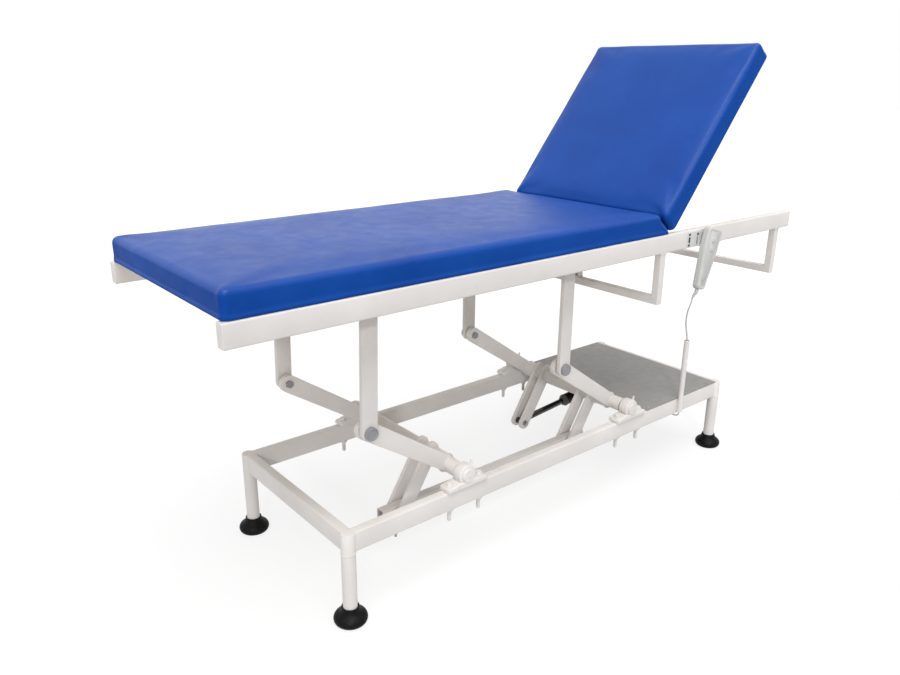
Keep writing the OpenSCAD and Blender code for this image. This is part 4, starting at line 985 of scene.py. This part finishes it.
def plainly_seen(tree):
    """One for a camera, glossy or transmission ray, and zero for every other."""
    path = tree.nodes.new("ShaderNodeLightPath")
    largest = path.outputs["Is Camera Ray"]
    for kind in ("Is Glossy Ray", "Is Transmission Ray"):
        node = tree.nodes.new("ShaderNodeMath")
        node.operation = "MAXIMUM"
        tree.links.new(largest, node.inputs[0])
        tree.links.new(path.outputs[kind], node.inputs[1])
        largest = node.outputs[0]
    return largest


def make_world():
    world = bpy.data.worlds.new("studio")
    scene.world = world
    world.use_nodes = True
    tree = world.node_tree
    background = tree.nodes["Background"]
    background.inputs["Color"].default_value = (1, 1, 1, 1)
    strength = tree.nodes.new("ShaderNodeMapRange")
    strength.inputs["To Min"].default_value = 0.57
    strength.inputs["To Max"].default_value = 1.0
    tree.links.new(plainly_seen(tree), strength.inputs["Value"])
    tree.links.new(strength.outputs["Result"], background.inputs["Strength"])


def make_floor():
    """White all round the table, and grey enough under it to take its shadow."""
    half = 30
    mesh = bpy.data.meshes.new("floor")
    mesh.from_pydata(loop_round(0, 0, 0, half, half), [], [(0, 1, 2, 3)])
    floor = bpy.data.objects.new("floor", mesh)
    floor.location.z = -0.0004
    scene.collection.objects.link(floor)
    material = bpy.data.materials.new("floor")
    material.use_nodes = True
    tree = material.node_tree
    bsdf = tree.nodes["Principled BSDF"]
    bsdf.inputs["Base Color"].default_value = (0.55, 0.55, 0.55, 1)
    bsdf.inputs["Roughness"].default_value = 0.7
    bsdf.inputs["Specular IOR Level"].default_value = 0.2
    glow = tree.nodes.new("ShaderNodeEmission")
    glow.inputs["Strength"].default_value = 1.15
    place = tree.nodes.new("ShaderNodeTexCoord")
    length = tree.nodes.new("ShaderNodeVectorMath")
    length.operation = "LENGTH"
    tree.links.new(place.outputs["Object"], length.inputs[0])
    far = tree.nodes.new("ShaderNodeMapRange")
    far.interpolation_type = "SMOOTHSTEP"
    far.inputs["From Min"].default_value = 1.2
    far.inputs["From Max"].default_value = 3.5
    far.inputs["To Min"].default_value = 0.7
    tree.links.new(length.outputs["Value"], far.inputs["Value"])
    share = tree.nodes.new("ShaderNodeMath")
    share.operation = "MULTIPLY"
    tree.links.new(far.outputs["Result"], share.inputs[0])
    tree.links.new(plainly_seen(tree), share.inputs[1])
    blend = tree.nodes.new("ShaderNodeMixShader")
    tree.links.new(share.outputs[0], blend.inputs[0])
    tree.links.new(bsdf.outputs[0], blend.inputs[1])
    tree.links.new(glow.outputs[0], blend.inputs[2])
    tree.links.new(blend.outputs[0], tree.nodes["Material Output"].inputs["Surface"])
    mesh.materials.append(material)


def make_sun(name, direction, strength, angle):
    data = bpy.data.lights.new(name, "SUN")
    data.energy = strength
    data.angle = math.radians(angle)
    sun = bpy.data.objects.new(name, data)
    sun.rotation_euler = Vector(direction).to_track_quat("Z", "Y").to_euler()
    scene.collection.objects.link(sun)


make_world()
make_floor()
make_sun("ceiling", (-0.15, -0.3, 0.92), 2.3, 40)
make_sun("flash", (-0.585, -0.702, 0.407), 0.82, 5)


# Handset's cord, its strain relief and the cord inside the conduit
def make_cord(name, route, body, replaced, radii=None):
    radius = CORD_D / 2
    curve = bpy.data.curves.new(name, "CURVE")
    curve.dimensions = "3D"
    curve.bevel_depth = radius * MM
    curve.bevel_resolution = 5
    curve.resolution_u = 4
    curve.use_fill_caps = True
    spline = curve.splines.new("POLY")
    spline.points.add(len(route) - 1)
    for i, (point, place) in enumerate(zip(spline.points, metres(route))):
        point.co = (*place, 1)
        point.radius = 1 if radii is None else radii[i] / radius
    curve.materials.append(GREY_PLASTIC)
    obj = bpy.data.objects.new(name, curve)
    scene.collection.objects.link(obj)
    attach(obj, body)
    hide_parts(replaced)
    return obj


handset_lead = make_cord("handset_lead", CORD, "handset", "handset_cord")
make_cord("inner_lead", INNER_CORD, "base", "inner_cord")
RELIEF_R = (6, 5.6, 5.9, 5.1, 5.4, 4.6, 4.9, 4.1, 4.4, 3.6, 3.9, 3.1, 3)
relief = []
for k in range(len(RELIEF_R)):
    place = k * (len(RELIEF) - 1) / (len(RELIEF_R) - 1)
    i = min(int(place), len(RELIEF) - 2)
    relief.append(Vector(RELIEF[i]).lerp(Vector(RELIEF[i + 1]), place - i))
make_cord("handset_relief", relief, "handset", "strain_relief", RELIEF_R)

low, high = CAD_BOX
